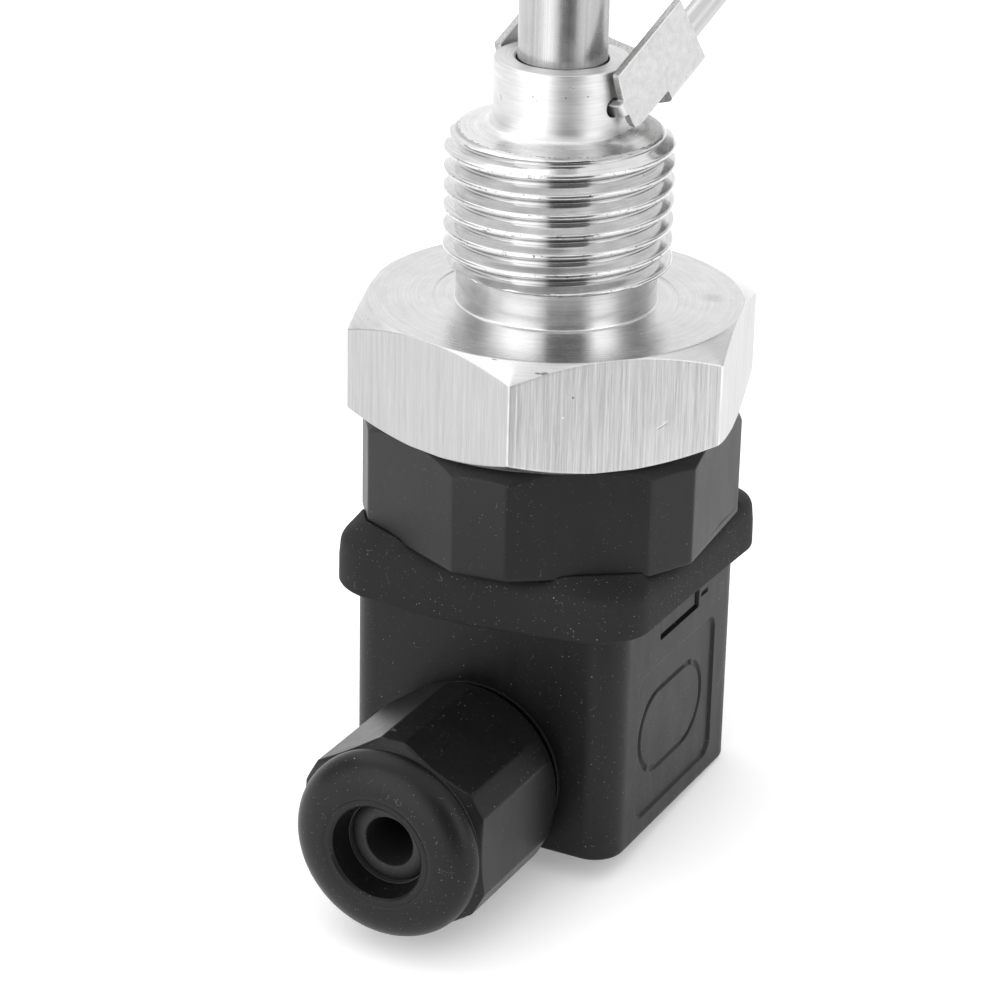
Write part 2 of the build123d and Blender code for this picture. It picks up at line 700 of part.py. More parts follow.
# --------------------------------------------------------------- cable gland
with BuildPart() as gland_nut:
    with BuildSketch(Plane(origin=(0, -NUT_REAR, GLAND_Z), x_dir=(1, 0, 0), z_dir=(0, -1, 0))):
        with BuildLine():
            Polyline(*nut_outline, close=True)
        make_face()
    extrude(amount=NUT_FRONT - NUT_REAR)
    # turned envelope: round rear rim, flats to the front chamfer, groove and dome
    with BuildSketch(gland_side):
        with BuildLine():
            Polyline((NUT_REAR, 0), (NUT_REAR, 8.1), (NUT_REAR + 0.25, 8.3), (NUT_REAR + 0.8, 8.5))
            Spline(
                (NUT_REAR + 0.8, 8.5),
                (NUT_REAR + 2.3, 9.45),
                (NUT_REAR + 4.3, 9.9),
                tangents=((1, 0.9), (1, 0.05)),
            )
            Polyline(
                (NUT_REAR + 4.3, 9.9),
                (28.95, 9.9),
                (NUT_GROOVE - 0.1, 8.75),
                (NUT_GROOVE, NUT_GROOVE_R),
                (NUT_GROOVE + 0.25, NUT_GROOVE_R),
            )
            Spline(
                (NUT_GROOVE + 0.25, NUT_GROOVE_R),
                (NUT_FRONT - 0.75, 7.35),
                (NUT_FRONT, 5.9),
                tangents=((1, -0.12), (0.02, -1)),
            )
            Polyline((NUT_FRONT, 5.9), (NUT_FRONT, 0), (NUT_REAR, 0))
        make_face()
    revolve(axis=gland_axis, mode=Mode.INTERSECT)
    # bore for the threaded boss, washer seat and cable hole
    with BuildSketch(gland_side):
        with BuildLine():
            Polyline(
                (NUT_REAR - 1, 0),
                (NUT_REAR - 1, 7.72),
                (27.0, 7.72),
                (27.6, 7.35),
                (30.5, 7.35),
                (30.5, 4.0),
                (NUT_FRONT - 0.2, NUT_HOLE_R),
                (NUT_FRONT, NUT_HOLE_R + 0.2),
                (NUT_FRONT + 1, NUT_HOLE_R + 0.2),
                (NUT_FRONT + 1, 0),
                close=True,
            )
        make_face()
    revolve(axis=gland_axis, mode=Mode.SUBTRACT)
gland_nut.part.label = "gland_nut"

with BuildPart() as gland_washer:
    with BuildSketch(gland_side):
        with BuildLine():
            Polyline((SEAL_SHOULDER, 3.95), (SEAL_SHOULDER, 7.3), (30.5, 7.3), (30.5, 3.95), close=True)
        make_face()
    revolve(axis=gland_axis)
gland_washer.part.label = "gland_washer"

# rubber bush that closes on the cable
with BuildPart() as gland_seal:
    with BuildSketch(gland_side):
        with BuildLine():
            Polyline(
                (SEAL_REAR, SEAL_HOLE_R),
                (SEAL_REAR, SEAL_R),
                (SEAL_SHOULDER - 0.6, SEAL_R),
                (SEAL_SHOULDER, SEAL_R - 0.6),
                (SEAL_SHOULDER, 3.9),
                (SEAL_FACE - 0.25, 3.9),
                (SEAL_FACE, 3.65),
                (SEAL_FACE, SEAL_HOLE_R + 0.25),
                (SEAL_FACE - 0.25, SEAL_HOLE_R),
                close=True,
            )
        make_face()
    revolve(axis=gland_axis)
gland_seal.part.label = "gland_seal"

# ----------------------------------------------------------- folded bracket
arc_out = WEB_LOW + WEB_R - sqrt(WEB_R**2 - EAR_OUT**2)
arc_in = WEB_LOW + WEB_R - sqrt((WEB_R - SHEET) ** 2 - EAR_IN**2)
ear = [
    (0.86, 3.05),
    (1.05, EAR_TOP),
    (11.5, EAR_TOP),
    (11.5, -9.0),
    (WEB_NEAR, -9.0),
    (WEB_NEAR, EAR_LOW),
    (0.75, EAR_LOW),
    (0.30, EAR_LOW + 0.3),
    (0.20, -1.73),
    (0.30, -LUG_HALF),
    (0.42, -LUG_HALF),
    (0.42, LUG_HALF),
    (0.37, 0.86),
    (0.62, 1.98),
]
with BuildPart() as float_bracket:
    # two upright ears and the bowed web between them, as one folded section
    with BuildSketch(arm_far) as fold:
        with BuildLine():
            Polyline((-EAR_OUT, arc_out), (-EAR_OUT, EAR_TOP + 0.5), (EAR_OUT, EAR_TOP + 0.5), (EAR_OUT, arc_out))
            ThreePointArc((EAR_OUT, arc_out), (0, WEB_LOW), (-EAR_OUT, arc_out))
        make_face()
        fillet(fold.vertices().group_by(Axis.Y)[0], radius=WEB_CORNER_R)
    extrude(amount=EAR_FAR)
    with BuildSketch(Plane(origin=PIVOT + ARM * (EAR_FAR + 1), x_dir=HINGE, z_dir=ARM * -1)) as hollow:
        with BuildLine():
            Polyline((-EAR_IN, arc_in), (-EAR_IN, EAR_TOP + 2), (EAR_IN, EAR_TOP + 2), (EAR_IN, arc_in))
            ThreePointArc((EAR_IN, arc_in), (0, WEB_LOW + SHEET), (-EAR_IN, arc_in))
        make_face()
        fillet(hollow.vertices().group_by(Axis.Y)[0], radius=WEB_CORNER_R - SHEET)
    extrude(amount=EAR_FAR + 2, mode=Mode.SUBTRACT)
    # outline of the ears, with the web cut back at its near end
    with BuildSketch(arm_side):
        with BuildLine():
            Polyline(*ear, close=True)
        make_face()
    extrude(amount=9, both=True, mode=Mode.INTERSECT)
    # lugs bent inwards from the near edges into the pivot holes
    with BuildSketch(lug_plane):
        for side in (1, -1):
            with BuildLine():
                Polyline((side * LUG_IN, -SHEET / 2), (side * EAR_IN, -SHEET / 2))
                ThreePointArc(
                    (side * EAR_IN, -SHEET / 2),
                    (side * (EAR_IN + SHEET * 0.7071), SHEET / 2 - SHEET * 0.7071),
                    (side * EAR_OUT, SHEET / 2),
                )
                Polyline(
                    (side * EAR_OUT, SHEET / 2),
                    (side * EAR_OUT, 1.2),
                    (side * EAR_IN, 1.2),
                    (side * EAR_IN, SHEET / 2),
                    (side * LUG_IN, SHEET / 2),
                    (side * LUG_IN, -SHEET / 2),
                )
            make_face()
    extrude(amount=2 * LUG_HALF)
float_bracket.part.label = "float_bracket"

# straight rod welded under the web
with BuildPart() as float_rod:
    with BuildSketch(Plane(origin=PIVOT + RISE * ROD_H + ARM * ROD_NEAR, x_dir=HINGE, z_dir=ARM)):
        Circle(ROD_R)
    extrude(amount=ROD_FAR - ROD_NEAR)
    chamfer(float_rod.edges().filter_by(GeomType.CIRCLE), length=0.3)
float_rod.part.label = "float_rod"

# two weld seams, one on each side of the rod
with BuildPart() as rod_weld:
    with BuildSketch(Plane(origin=PIVOT + ARM * 6.9, x_dir=HINGE, z_dir=ARM * -1)) as seams:
        for side in (1, -1):
            with BuildLine():
                Polyline((side * 0.25, -5.4), (side * 1.75, -5.4), (side * 1.75, -6.0), (side * 1.15, -6.75), (side * 0.25, -6.75), (side * 0.25, -5.4))
            make_face()
        with Locations((0, ROD_H)):
            Circle(ROD_R + 0.01, mode=Mode.SUBTRACT)
        with Locations((0, WEB_LOW + WEB_R)):
            Circle(WEB_R + 0.01, mode=Mode.SUBTRACT)
    extrude(amount=-3.2)
rod_weld.part.label = "rod_weld"

# --------------------------------------------------------------------- float
with BuildPart() as float_boss:
    with BuildSketch(float_side):
        with BuildLine():
            Polyline(
                (BOSS_NEAR, ROD_R + 0.02),
                (BOSS_NEAR, BOSS_R - 0.6),
                (BOSS_NEAR + 0.6, BOSS_R),
                (FLOAT_NEAR, BOSS_R),
                (FLOAT_NEAR, SHANK_R),
                (SHANK_END, SHANK_R),
                (SHANK_END, 0),
                (ROD_FAR + 0.02, 0),
                (ROD_FAR + 0.02, ROD_R + 0.02),
                close=True,
            )
        make_face()
    revolve(axis=float_axis)
float_boss.part.label = "float_boss"


def shell_points(start, turn, radius, corner):
    """Flat end, rounded corner and wall of a drawn half shell."""
    k = corner * (1 - 0.70711)
    return (start, radius - corner), (start + turn * k, radius - k), (start + turn * corner, radius)


with BuildPart() as float_shell_near:
    with BuildSketch(float_side):
        a, b, c = shell_points(FLOAT_NEAR, 1, FLOAT_R, FLOAT_CORNER)
        d, e, f = shell_points(
            FLOAT_NEAR + FLOAT_WALL, 1, FLOAT_R - FLOAT_WALL, FLOAT_CORNER - FLOAT_WALL
        )
        with BuildLine():
            Line((FLOAT_NEAR, SHANK_R + 0.02), a)
            ThreePointArc(a, b, c)
            Polyline(c, (FLOAT_SEAM, FLOAT_R), (FLOAT_SEAM, FLOAT_R - FLOAT_WALL), f)
            ThreePointArc(f, e, d)
            Polyline(d, (FLOAT_NEAR + FLOAT_WALL, SHANK_R + 0.02), (FLOAT_NEAR, SHANK_R + 0.02))
        make_face()
    revolve(axis=float_axis)
float_shell_near.part.label = "float_shell_near"

with BuildPart() as float_shell_far:
    with BuildSketch(float_side):
        a, b, c = shell_points(FLOAT_FAR, -1, FLOAT_R, FLOAT_CORNER)
        d, e, f = shell_points(
            FLOAT_FAR - FLOAT_WALL, -1, FLOAT_R - FLOAT_WALL, FLOAT_CORNER - FLOAT_WALL
        )
        with BuildLine():
            Line((FLOAT_FAR, 0), a)
            ThreePointArc(a, b, c)
            Polyline(c, (FLOAT_SEAM, FLOAT_R), (FLOAT_SEAM, FLOAT_R - FLOAT_WALL), f)
            ThreePointArc(f, e, d)
            Polyline(d, (FLOAT_FAR - FLOAT_WALL, 0), (FLOAT_FAR, 0))
        make_face()
    revolve(axis=float_axis)
float_shell_far.part.label = "float_shell_far"

with BuildPart() as float_magnet:
    with BuildSketch(float_side):
        with BuildLine():
            Polyline(
                (FLOAT_NEAR + FLOAT_WALL, SHANK_R + 0.05),
                (FLOAT_NEAR + FLOAT_WALL, MAGNET_R),
                (FLOAT_NEAR + FLOAT_WALL + MAGNET_T, MAGNET_R),
                (FLOAT_NEAR + FLOAT_WALL + MAGNET_T, SHANK_R + 0.05),
                close=True,
            )
        make_face()
    revolve(axis=float_axis)
float_magnet.part.label = "float_magnet"

with BuildPart() as magnet_retainer:
    with BuildSketch(float_side):
        with BuildLine():
            Polyline(
                (FLOAT_NEAR + FLOAT_WALL + MAGNET_T, SHANK_R + 0.02),
                (FLOAT_NEAR + FLOAT_WALL + MAGNET_T, 3.6),
                (FLOAT_NEAR + FLOAT_WALL + MAGNET_T + 0.5, 3.6),
                (FLOAT_NEAR + FLOAT_WALL + MAGNET_T + 0.5, SHANK_R + 0.02),
                close=True,
            )
        make_face()
    revolve(axis=float_axis)
magnet_retainer.part.label = "magnet_retainer"

# --------------------------------------------------------------------- export
for piece in (
    hex_body,
    stem_tube,
    stem_tip,
    reed_glass,
    reed_blades,
    reed_sleeve,
    lead_wires,
    potting_plug,
    connector_base,
    base_o_ring,
    contact_pins,
    earth_pin,
    threaded_insert,
    profile_gasket,
    plug_housing,
    contact_insert,
    female_contacts,
    earth_contact,
    terminal_screws,
    fixing_screw,
    screw_seal,
    gland_nut,
    gland_washer,
    gland_seal,
    float_bracket,
    float_rod,
    rod_weld,
    float_boss,
    float_shell_near,
    float_shell_far,
    float_magnet,
    magnet_retainer,
):
    export_step(piece.part, f"parts/{piece.part.label}.step")
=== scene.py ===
import bpy
import bmesh
import math
import numpy as np
from mathutils import Matrix, Vector


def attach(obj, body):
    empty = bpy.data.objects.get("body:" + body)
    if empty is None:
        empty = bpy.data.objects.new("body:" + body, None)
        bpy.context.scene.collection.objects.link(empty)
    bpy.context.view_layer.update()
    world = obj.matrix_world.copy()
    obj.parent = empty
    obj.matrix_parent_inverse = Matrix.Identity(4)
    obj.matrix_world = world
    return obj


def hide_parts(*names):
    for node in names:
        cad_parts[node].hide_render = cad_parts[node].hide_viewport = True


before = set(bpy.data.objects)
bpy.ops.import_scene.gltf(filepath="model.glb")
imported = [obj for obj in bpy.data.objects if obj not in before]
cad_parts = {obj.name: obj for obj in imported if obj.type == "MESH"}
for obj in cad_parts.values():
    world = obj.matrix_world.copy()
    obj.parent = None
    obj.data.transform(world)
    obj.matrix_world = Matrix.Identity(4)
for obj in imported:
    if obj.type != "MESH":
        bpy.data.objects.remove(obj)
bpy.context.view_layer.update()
scene = bpy.context.scene
MM = 0.001
rng = np.random.default_rng(7)

# ------------------------------------------------------------------ dimensions (mm)
HEX_AF, HEX_H, HEX_FLAT_R = 34.0, 10.45, 17.05
HEX_CORNER_DEG = -75.0
THREAD_R, ROOT_R, PITCH = 10.405, 9.30, 1.814
RELIEF_R, RELIEF_TOP = 9.12, 3.05
THREAD_TOP, NECK_R, NECK_TOP = 15.88, 6.10, 22.35
PIVOT_Z, PIVOT_R, PIVOT_DEG, ARM_DEG = 18.98, 0.90, -15.0, 33.1
TUBE_R, TUBE_END, TIP_H = 4.0, 60.0, 2.0
ROD_R, ROD_H, ROD_NEAR, ROD_FAR = 1.25, -7.20, 6.3, 31.3
FLOAT_R, FLOAT_NEAR, FLOAT_FAR, FLOAT_SEAM, FLOAT_CORNER = 12.0, 32.0, 66.0, 49.0, 5.0
BASE_BOTTOM, BASE_FACET, BASE_CORNER, BASE_FLAT_R = -21.0, 16.27, 17.31, 16.2
GLAND_Z = -41.8
BOX, BOX_R, BOX_TOP, BOX_BOTTOM = 13.75, 3.0, -23.0, -48.8


def unit(v):
    v = np.asarray(v, float)
    return v / np.linalg.norm(v)


HINGE = np.array([math.cos(math.radians(PIVOT_DEG)), math.sin(math.radians(PIVOT_DEG)), 0.0])
FLAT = np.array([-math.sin(math.radians(PIVOT_DEG)), math.cos(math.radians(PIVOT_DEG)), 0.0])
ARM = FLAT * math.cos(math.radians(ARM_DEG)) + np.array([0, 0, math.sin(math.radians(ARM_DEG))])
RISE = np.array([0, 0, math.cos(math.radians(ARM_DEG))]) - FLAT * math.sin(math.radians(ARM_DEG))
PIVOT = np.array([0, 0, PIVOT_Z])


# ------------------------------------------------------------------ mesh helpers
class Build:
    """Collects grids of points in millimetres and welds them into one mesh."""

    def __init__(self):
        self.v, self.f, self.n = [], [], 0

    def add(self, verts, faces):
        self.v.append(np.asarray(verts, float).reshape(-1, 3))
        self.f += [tuple(int(k) + self.n for k in face) for face in faces]
        self.n += len(self.v[-1])

    def grid(self, g, wrap=True, close=False):
        rows, cols, _ = g.shape
        i = np.arange(rows if close else rows - 1)[:, None]
        j = np.arange(cols if wrap else cols - 1)[None, :]
        i2, j2 = (i + 1) % rows, (j + 1) % cols
        quads = np.stack(np.broadcast_arrays(i * cols + j, i * cols + j2, i2 * cols + j2, i2 * cols + j), -1)
        self.add(g.reshape(-1, 3), quads.reshape(-1, 4).tolist())

    def fan(self, ring, centre):
        n = len(ring)
        self.add(np.vstack([ring, [centre]]), [(k, (k + 1) % n, n) for k in range(n)])

    def make(self, name, sharp=32.0, weld=0.0015, matrix=None):
        verts = np.vstack(self.v) * MM
        me = bpy.data.meshes.new(name)
        me.from_pydata(verts.tolist(), [], self.f)
        bm = bmesh.new()
        bm.from_mesh(me)
        bmesh.ops.remove_doubles(bm, verts=bm.verts, dist=weld * MM)
        bmesh.ops.dissolve_degenerate(bm, edges=bm.edges, dist=weld * MM * 0.5)
        bmesh.ops.recalc_face_normals(bm, faces=bm.faces)
        bm.to_mesh(me)
        bm.free()
        if matrix is not None:
            me.transform(matrix)
        obj = bpy.data.objects.new(name, me)
        scene.collection.objects.link(obj)
        finish_mesh(obj, sharp)
        return obj


def finish_mesh(obj, sharp):
    obj.data.shade_smooth()
    obj.data.set_sharp_from_angle(angle=math.radians(sharp))


def place(origin, x, y, z):
    m = Matrix.Identity(4)
    for c, col in enumerate((x, y, z)):
        for r in range(3):
            m[r][c] = float(col[r])
    for r in range(3):
        m[r][3] = float(origin[r]) * MM
    return m


def corner(p0, p1, p2, t, seg=4):
    """A rounded corner at p1; each argument is (..., 2)."""
    p0, p1, p2 = (np.asarray(p, float) for p in (p0, p1, p2))
    a, b = p0 - p1, p2 - p1
    la, lb = np.linalg.norm(a, axis=-1, keepdims=True), np.linalg.norm(b, axis=-1, keepdims=True)
    t = np.minimum(np.minimum(t, 0.45 * la), 0.45 * lb)
    a, b = p1 + a / np.maximum(la, 1e-9) * t, p1 + b / np.maximum(lb, 1e-9) * t
    out = []
    for s in np.linspace(0, 1, seg + 1):
        out.append((1 - s) ** 2 * a + 2 * s * (1 - s) * p1 + s * s * b)
    return out


def rounded(points, seg=4, guard=0.08, close=False):
    """points are (x, y) or (x, y, rounding). Flat runs get a guard point beside each rounded corner."""
    pts = [(p[0], p[1], p[2] if len(p) > 2 else 0.0) for p in points]
    n, out = len(pts), []
    for k in range(n):
        x, y, t = pts[k]
        if t <= 0 or (not close and k in (0, n - 1)):
            out.append(np.array([x, y]))
            continue
        p0, p1, p2 = np.array(pts[k - 1][:2]), np.array([x, y]), np.array(pts[(k + 1) % n][:2])
        c = corner(p0, p1, p2, t, seg)
        for end, p in ((c[0], p0), (c[-1], p2)):
            d = np.linalg.norm(p - end)
            g = end + (p - end) / max(d, 1e-9) * guard if d > 3 * guard else None
            if end is c[0]:
                if g is not None:
                    out.append(g)
                out += c
            elif g is not None:
                out.append(g)
    return np.array(out)


def revolve(profile, angles=None, n=128):
    """(radius, height) points turned about Z; angles in degrees."""
    a = np.radians(np.arange(n) * 360.0 / n if angles is None else angles)
    r, z = profile[:, 0][:, None], profile[:, 1][:, None]
    return np.stack([r * np.cos(a), r * np.sin(a), z + 0 * a], -1)


def columns(n, special=(), offsets=(0,)):
    """Angles in degrees: an even ring, with extra ones beside each special angle."""
    extra = sorted({round((s + o) % 360, 4) for s in special for o in offsets})
    step = 360.0 / n
    even = [a for a in (k * step for k in range(n)) if all(abs((a - e + 180) % 360 - 180) > 0.4 * step for e in extra)]
    return np.array(sorted(extra + even))


def softmin(a, b, k):
    m = np.minimum(a, b)
    return m - k * np.log(np.exp(-(a - m) / k) + np.exp(-(b - m) / k))


def many_sided(angles, sides, k):
    """Radius of a polygon whose sides are (normal, distance), with softened corners."""
    r = None
    for normal, d in sides:
        c = np.cos(np.radians(angles - normal))
        s = np.where(c > 0.25, d / np.maximum(c, 0.25), 1e3)
        r = s if r is None else softmin(r, s, k)
    return r


def noise1(x, seed):
    """Smooth repeatable noise of a number, about -1 to 1."""
    g = np.random.default_rng(seed)
    out = 0
    for k in range(6):
        out = out + np.sin(x * (0.7 + k * 1.13 * g.uniform(0.8, 1.2)) + g.uniform(0, 6.28)) / (1 + k * 0.6)
    return out / 2.6


def lathe(name, points, matrix=None, n=128, seg=4, sharp=32.0, guard=0.08, close=False):
    prof = rounded(points, seg, guard, close)
    b = Build()
    b.grid(revolve(prof, n=n), close=close)
    return b.make(name, sharp, matrix=matrix)


def cut(obj, *cutters):
    """Takes the cutters out of obj and removes them."""
    for c in cutters:
        m = obj.modifiers.new("cut", "BOOLEAN")
        m.operation, m.solver, m.object = "DIFFERENCE", "EXACT", c
    dg = bpy.context.evaluated_depsgraph_get()
    me = bpy.data.meshes.new_from_object(obj.evaluated_get(dg))
    obj.modifiers.clear()
    obj.data = me
    for c in cutters:
        bpy.data.objects.remove(c)


def apply_modifiers(obj):
    dg = bpy.context.evaluated_depsgraph_get()
    me = bpy.data.meshes.new_from_object(obj.evaluated_get(dg))
    obj.modifiers.clear()
    obj.data = me


def pin(name, r, lo, hi, matrix, n=48):
    b = Build()
    g = revolve(np.array([(r, lo), (r, hi)]), n=n)
    b.grid(g)
    b.fan(g[0], (0, 0, lo))
    b.fan(g[-1], (0, 0, hi))
    return b.make(name, matrix=matrix)


# ------------------------------------------------------------------ material helpers
class Mat:
    def __init__(self, name, axes=None):
        self.axes = axes
        self.mat = bpy.data.materials.new(name)
        self.mat.use_nodes = True
        self.nt = self.mat.node_tree
        self.bsdf = self.nt.nodes["Principled BSDF"]
        self._mm = None

    def node(self, kind, **props):
        n = self.nt.nodes.new(kind)
        for k, v in props.items():
            setattr(n, k, v)
        return n

    def put(self, socket, value):
        if isinstance(value, bpy.types.NodeSocket):
            self.nt.links.new(value, socket)
        elif value is not None:
            socket.default_value = value

    def mm(self):
        if self._mm is None:
            tc = self.node("ShaderNodeTexCoord")
            s = self.node("ShaderNodeVectorMath", operation="SCALE")
            self.put(s.inputs[0], tc.outputs["Object"])
            s.inputs["Scale"].default_value = 1000.0
            self._mm = s.outputs[0]
            if self.axes is not None:
                d = self.vec("SUBTRACT", self._mm, tuple(float(k) for k in self.axes[0]))
                self._mm = self.join(*[self.vec("DOT_PRODUCT", d, tuple(float(k) for k in ax)) for ax in self.axes[1:]])
                self._from = d
        return self._mm

    def math(self, op, a, b=None, c=None, clamp=False):
        n = self.node("ShaderNodeMath", operation=op, use_clamp=clamp)
        for s, v in zip(n.inputs, (a, b, c)):
            self.put(s, v)
        return n.outputs[0]

    def vec(self, op, a, b=None):
        """One vector operation; a and b are sockets or plain triples."""
        n = self.node("ShaderNodeVectorMath", operation=op)
        self.put(n.inputs[0], a)
        if b is not None:
            self.put(n.inputs[1], b)
        return n.outputs["Value"] if op in ("DOT_PRODUCT", "LENGTH") else n.outputs[0]

    def xyz(self, v=None):
        n = self.node("ShaderNodeSeparateXYZ")
        self.put(n.inputs[0], self.mm() if v is None else v)
        return n.outputs

    def join(self, x, y, z):
        n = self.node("ShaderNodeCombineXYZ")
        for s, v in zip(n.inputs, (x, y, z)):
            self.put(s, v)
        return n.outputs[0]

    def noise(self, vec, scale=1.0, detail=2.0, rough=0.5, distort=0.0):
        n = self.node("ShaderNodeTexNoise")
        self.put(n.inputs["Vector"], vec)
        n.inputs["Scale"].default_value = scale
        n.inputs["Detail"].default_value = detail
        n.inputs["Roughness"].default_value = rough
        n.inputs["Distortion"].default_value = distort
        return n.outputs[0]

    def ramp(self, fac, *stops, smooth=False):
        n = self.node("ShaderNodeValToRGB")
        if smooth:
            n.color_ramp.interpolation = "EASE"
        e = n.color_ramp.elements
        while len(e) < len(stops):
            e.new(0.5)
        for el, (p, c) in zip(e, stops):
            el.position = p
            el.color = (c, c, c, 1) if isinstance(c, (int, float)) else (*c, 1)
        self.put(n.inputs[0], fac)
        return n.outputs[0]

    def mix(self, fac, a, b, blend="MIX"):
        n = self.node("ShaderNodeMix", data_type="RGBA", blend_type=blend)
        self.put(n.inputs[0], fac)
        for s, v in ((n.inputs[6], a), (n.inputs[7], b)):
            self.put(s, (*v, 1) if isinstance(v, tuple) and len(v) == 3 else v)
        return n.outputs[2]

    def span(self, fac, lo, hi, a, b):
        n = self.node("ShaderNodeMapRange", clamp=True)
        for s, v in zip(n.inputs, (fac, lo, hi, a, b)):
            self.put(s, v)
        return n.outputs[0]

    def bump(self, height, depth_mm, strength=1.0, normal=None):
        n = self.node("ShaderNodeBump")
        n.inputs["Strength"].default_value = strength
        n.inputs["Distance"].default_value = depth_mm * MM
        self.put(n.inputs["Height"], height)
        if normal is not None:
            self.put(n.inputs["Normal"], normal)
        return n.outputs[0]

    def specks(self, cells, radius, share, vec=None, seed=0.0, least=0.25, power=3.0):
        """1 inside small round spots: cells per mm, their radius in cells, and the share of cells that have one."""
        n = self.node("ShaderNodeTexVoronoi", feature="F1")
        v = self.vec("ADD", self.mm() if vec is None else vec, (seed, seed * 0.7, -seed))
        self.put(n.inputs["Vector"], v)
        n.inputs["Scale"].default_value = cells
        sep = self.node("ShaderNodeSeparateColor")
        self.put(sep.inputs[0], n.outputs["Color"])
        r = self.math("MULTIPLY", self.math("MULTIPLY_ADD", self.math("POWER", sep.outputs[1], power), 1.0 - least, least), radius)
        spot = self.span(n.outputs["Distance"], self.math("MULTIPLY", r, 0.6), r, 1.0, 0.0)
        keep = self.math("LESS_THAN", sep.outputs[0], share)
        return self.math("MULTIPLY", spot, keep)

    def mark(self, centre, axes, radii):
        """1 inside a small soft-edged spot at one place; axes are its three directions, in mm."""
        d = self.vec("SUBTRACT", self.mm(), tuple(float(k) for k in centre))
        q = self.join(*[self.math("DIVIDE", self.vec("DOT_PRODUCT", d, tuple(float(k) for k in ax)), r) for ax, r in zip(axes, radii)])
        return self.span(self.vec("LENGTH", q), 0.7, 1.05, 1.0, 0.0)

    def marks(self, spots):
        out = None
        for centre, axes, radii in spots:
            k = self.mark(centre, axes, radii)
            out = k if out is None else self.math("MAXIMUM", out, k)
        return out

    def done(self, **values):
        for k, v in values.items():
            name = {
                "color": "Base Color", "rough": "Roughness", "metal": "Metallic", "aniso": "Anisotropic",
                "rotation": "Anisotropic Rotation", "tangent": "Tangent", "normal": "Normal", "ior": "IOR",
                "spec": "Specular IOR Level", "transmission": "Transmission Weight", "coat": "Coat Weight",
                "coat_rough": "Coat Roughness", "sheen": "Sheen Weight", "sheen_rough": "Sheen Roughness",
            }[k]
            self.put(self.bsdf.inputs[name], (*v, 1) if isinstance(v, tuple) and len(v) == 3 else v)
        return self.mat


def cut_marks(*items):
    """(place, direction of the mark, half length, half width)."""
    out = []
    for place_mm, along, half, width in items:
        u = unit(along)
        w = unit(np.cross(u, (0.31, 0.87, 0.38)))
        out.append((place_mm, (u, w, np.cross(u, w)), (half, width, width)))
    return out


UPRIGHT = (0.0, 0.0, 1.0)
NECK_MARKS = cut_marks(
    ((3.02, -5.30, 20.37), UPRIGHT, 0.10, 0.10), ((0.22, -6.10, 20.23), UPRIGHT, 0.11, 0.07), ((0.60, -6.07, 19.92), UPRIGHT, 0.06, 0.09),
    ((4.54, -4.07, 20.39), (0.65, 0.76, 0.3), 0.14, 0.06), ((3.44, -5.03, 21.27), (0.84, 0.55, -0.35), 0.42, 0.035), ((-3.45, -5.03, 19.38), (0.6, -0.4, -0.7), 0.34, 0.06),
)
CHAMFER_MARKS = cut_marks(((7.32, -16.63, -0.64), (0.9, 0.35, -0.1), 0.42, 0.24), ((6.75, -16.83, -0.62), (0.9, 0.35, -0.1), 0.34, 0.11), ((7.95, -16.5, -0.73), (0.9, 0.35, -0.1), 0.22, 0.14), ((2.6, -17.0, -0.1), (1.0, 0.1, 0.0), 0.3, 0.06))
HEX_MARKS = cut_marks(((9.19, -14.85, -3.08), UPRIGHT, 0.11, 0.11), ((15.1, -8.94, -6.63), (0.84, 0.84, 0.63), 0.62, 0.03))
HEX_LIGHT = cut_marks(((15.05, -8.99, -6.52), (0.84, 0.84, 0.63), 0.66, 0.04), ((15.3, -8.74, -6.2), (0.84, 0.84, 0.63), 0.35, 0.03), ((8.58, -15.46, -4.86), UPRIGHT, 0.10, 0.10))


def turned_vector(m, freq, around=0.12):
    """Texture space whose fast direction runs along the axis on a cylinder and outwards on a face."""
    x, y, z = m.xyz()
    r = m.vec("LENGTH", m.join(x, y, 0.0))
    along = m.math("MULTIPLY", m.math("ADD", z, m.math("MULTIPLY", r, 1.37)), freq)
    return m.join(m.math("MULTIPLY", x, around), m.math("MULTIPLY", y, around), along)


def radial_tangent(m):
    if m.axes is not None:
        m.mm()
        return m.vec("NORMALIZE", m.vec("CROSS_PRODUCT", tuple(float(k) for k in m.axes[3]), m._from))
    t = m.node("ShaderNodeTangent", direction_type="RADIAL", axis="Z")
    return t.outputs[0]


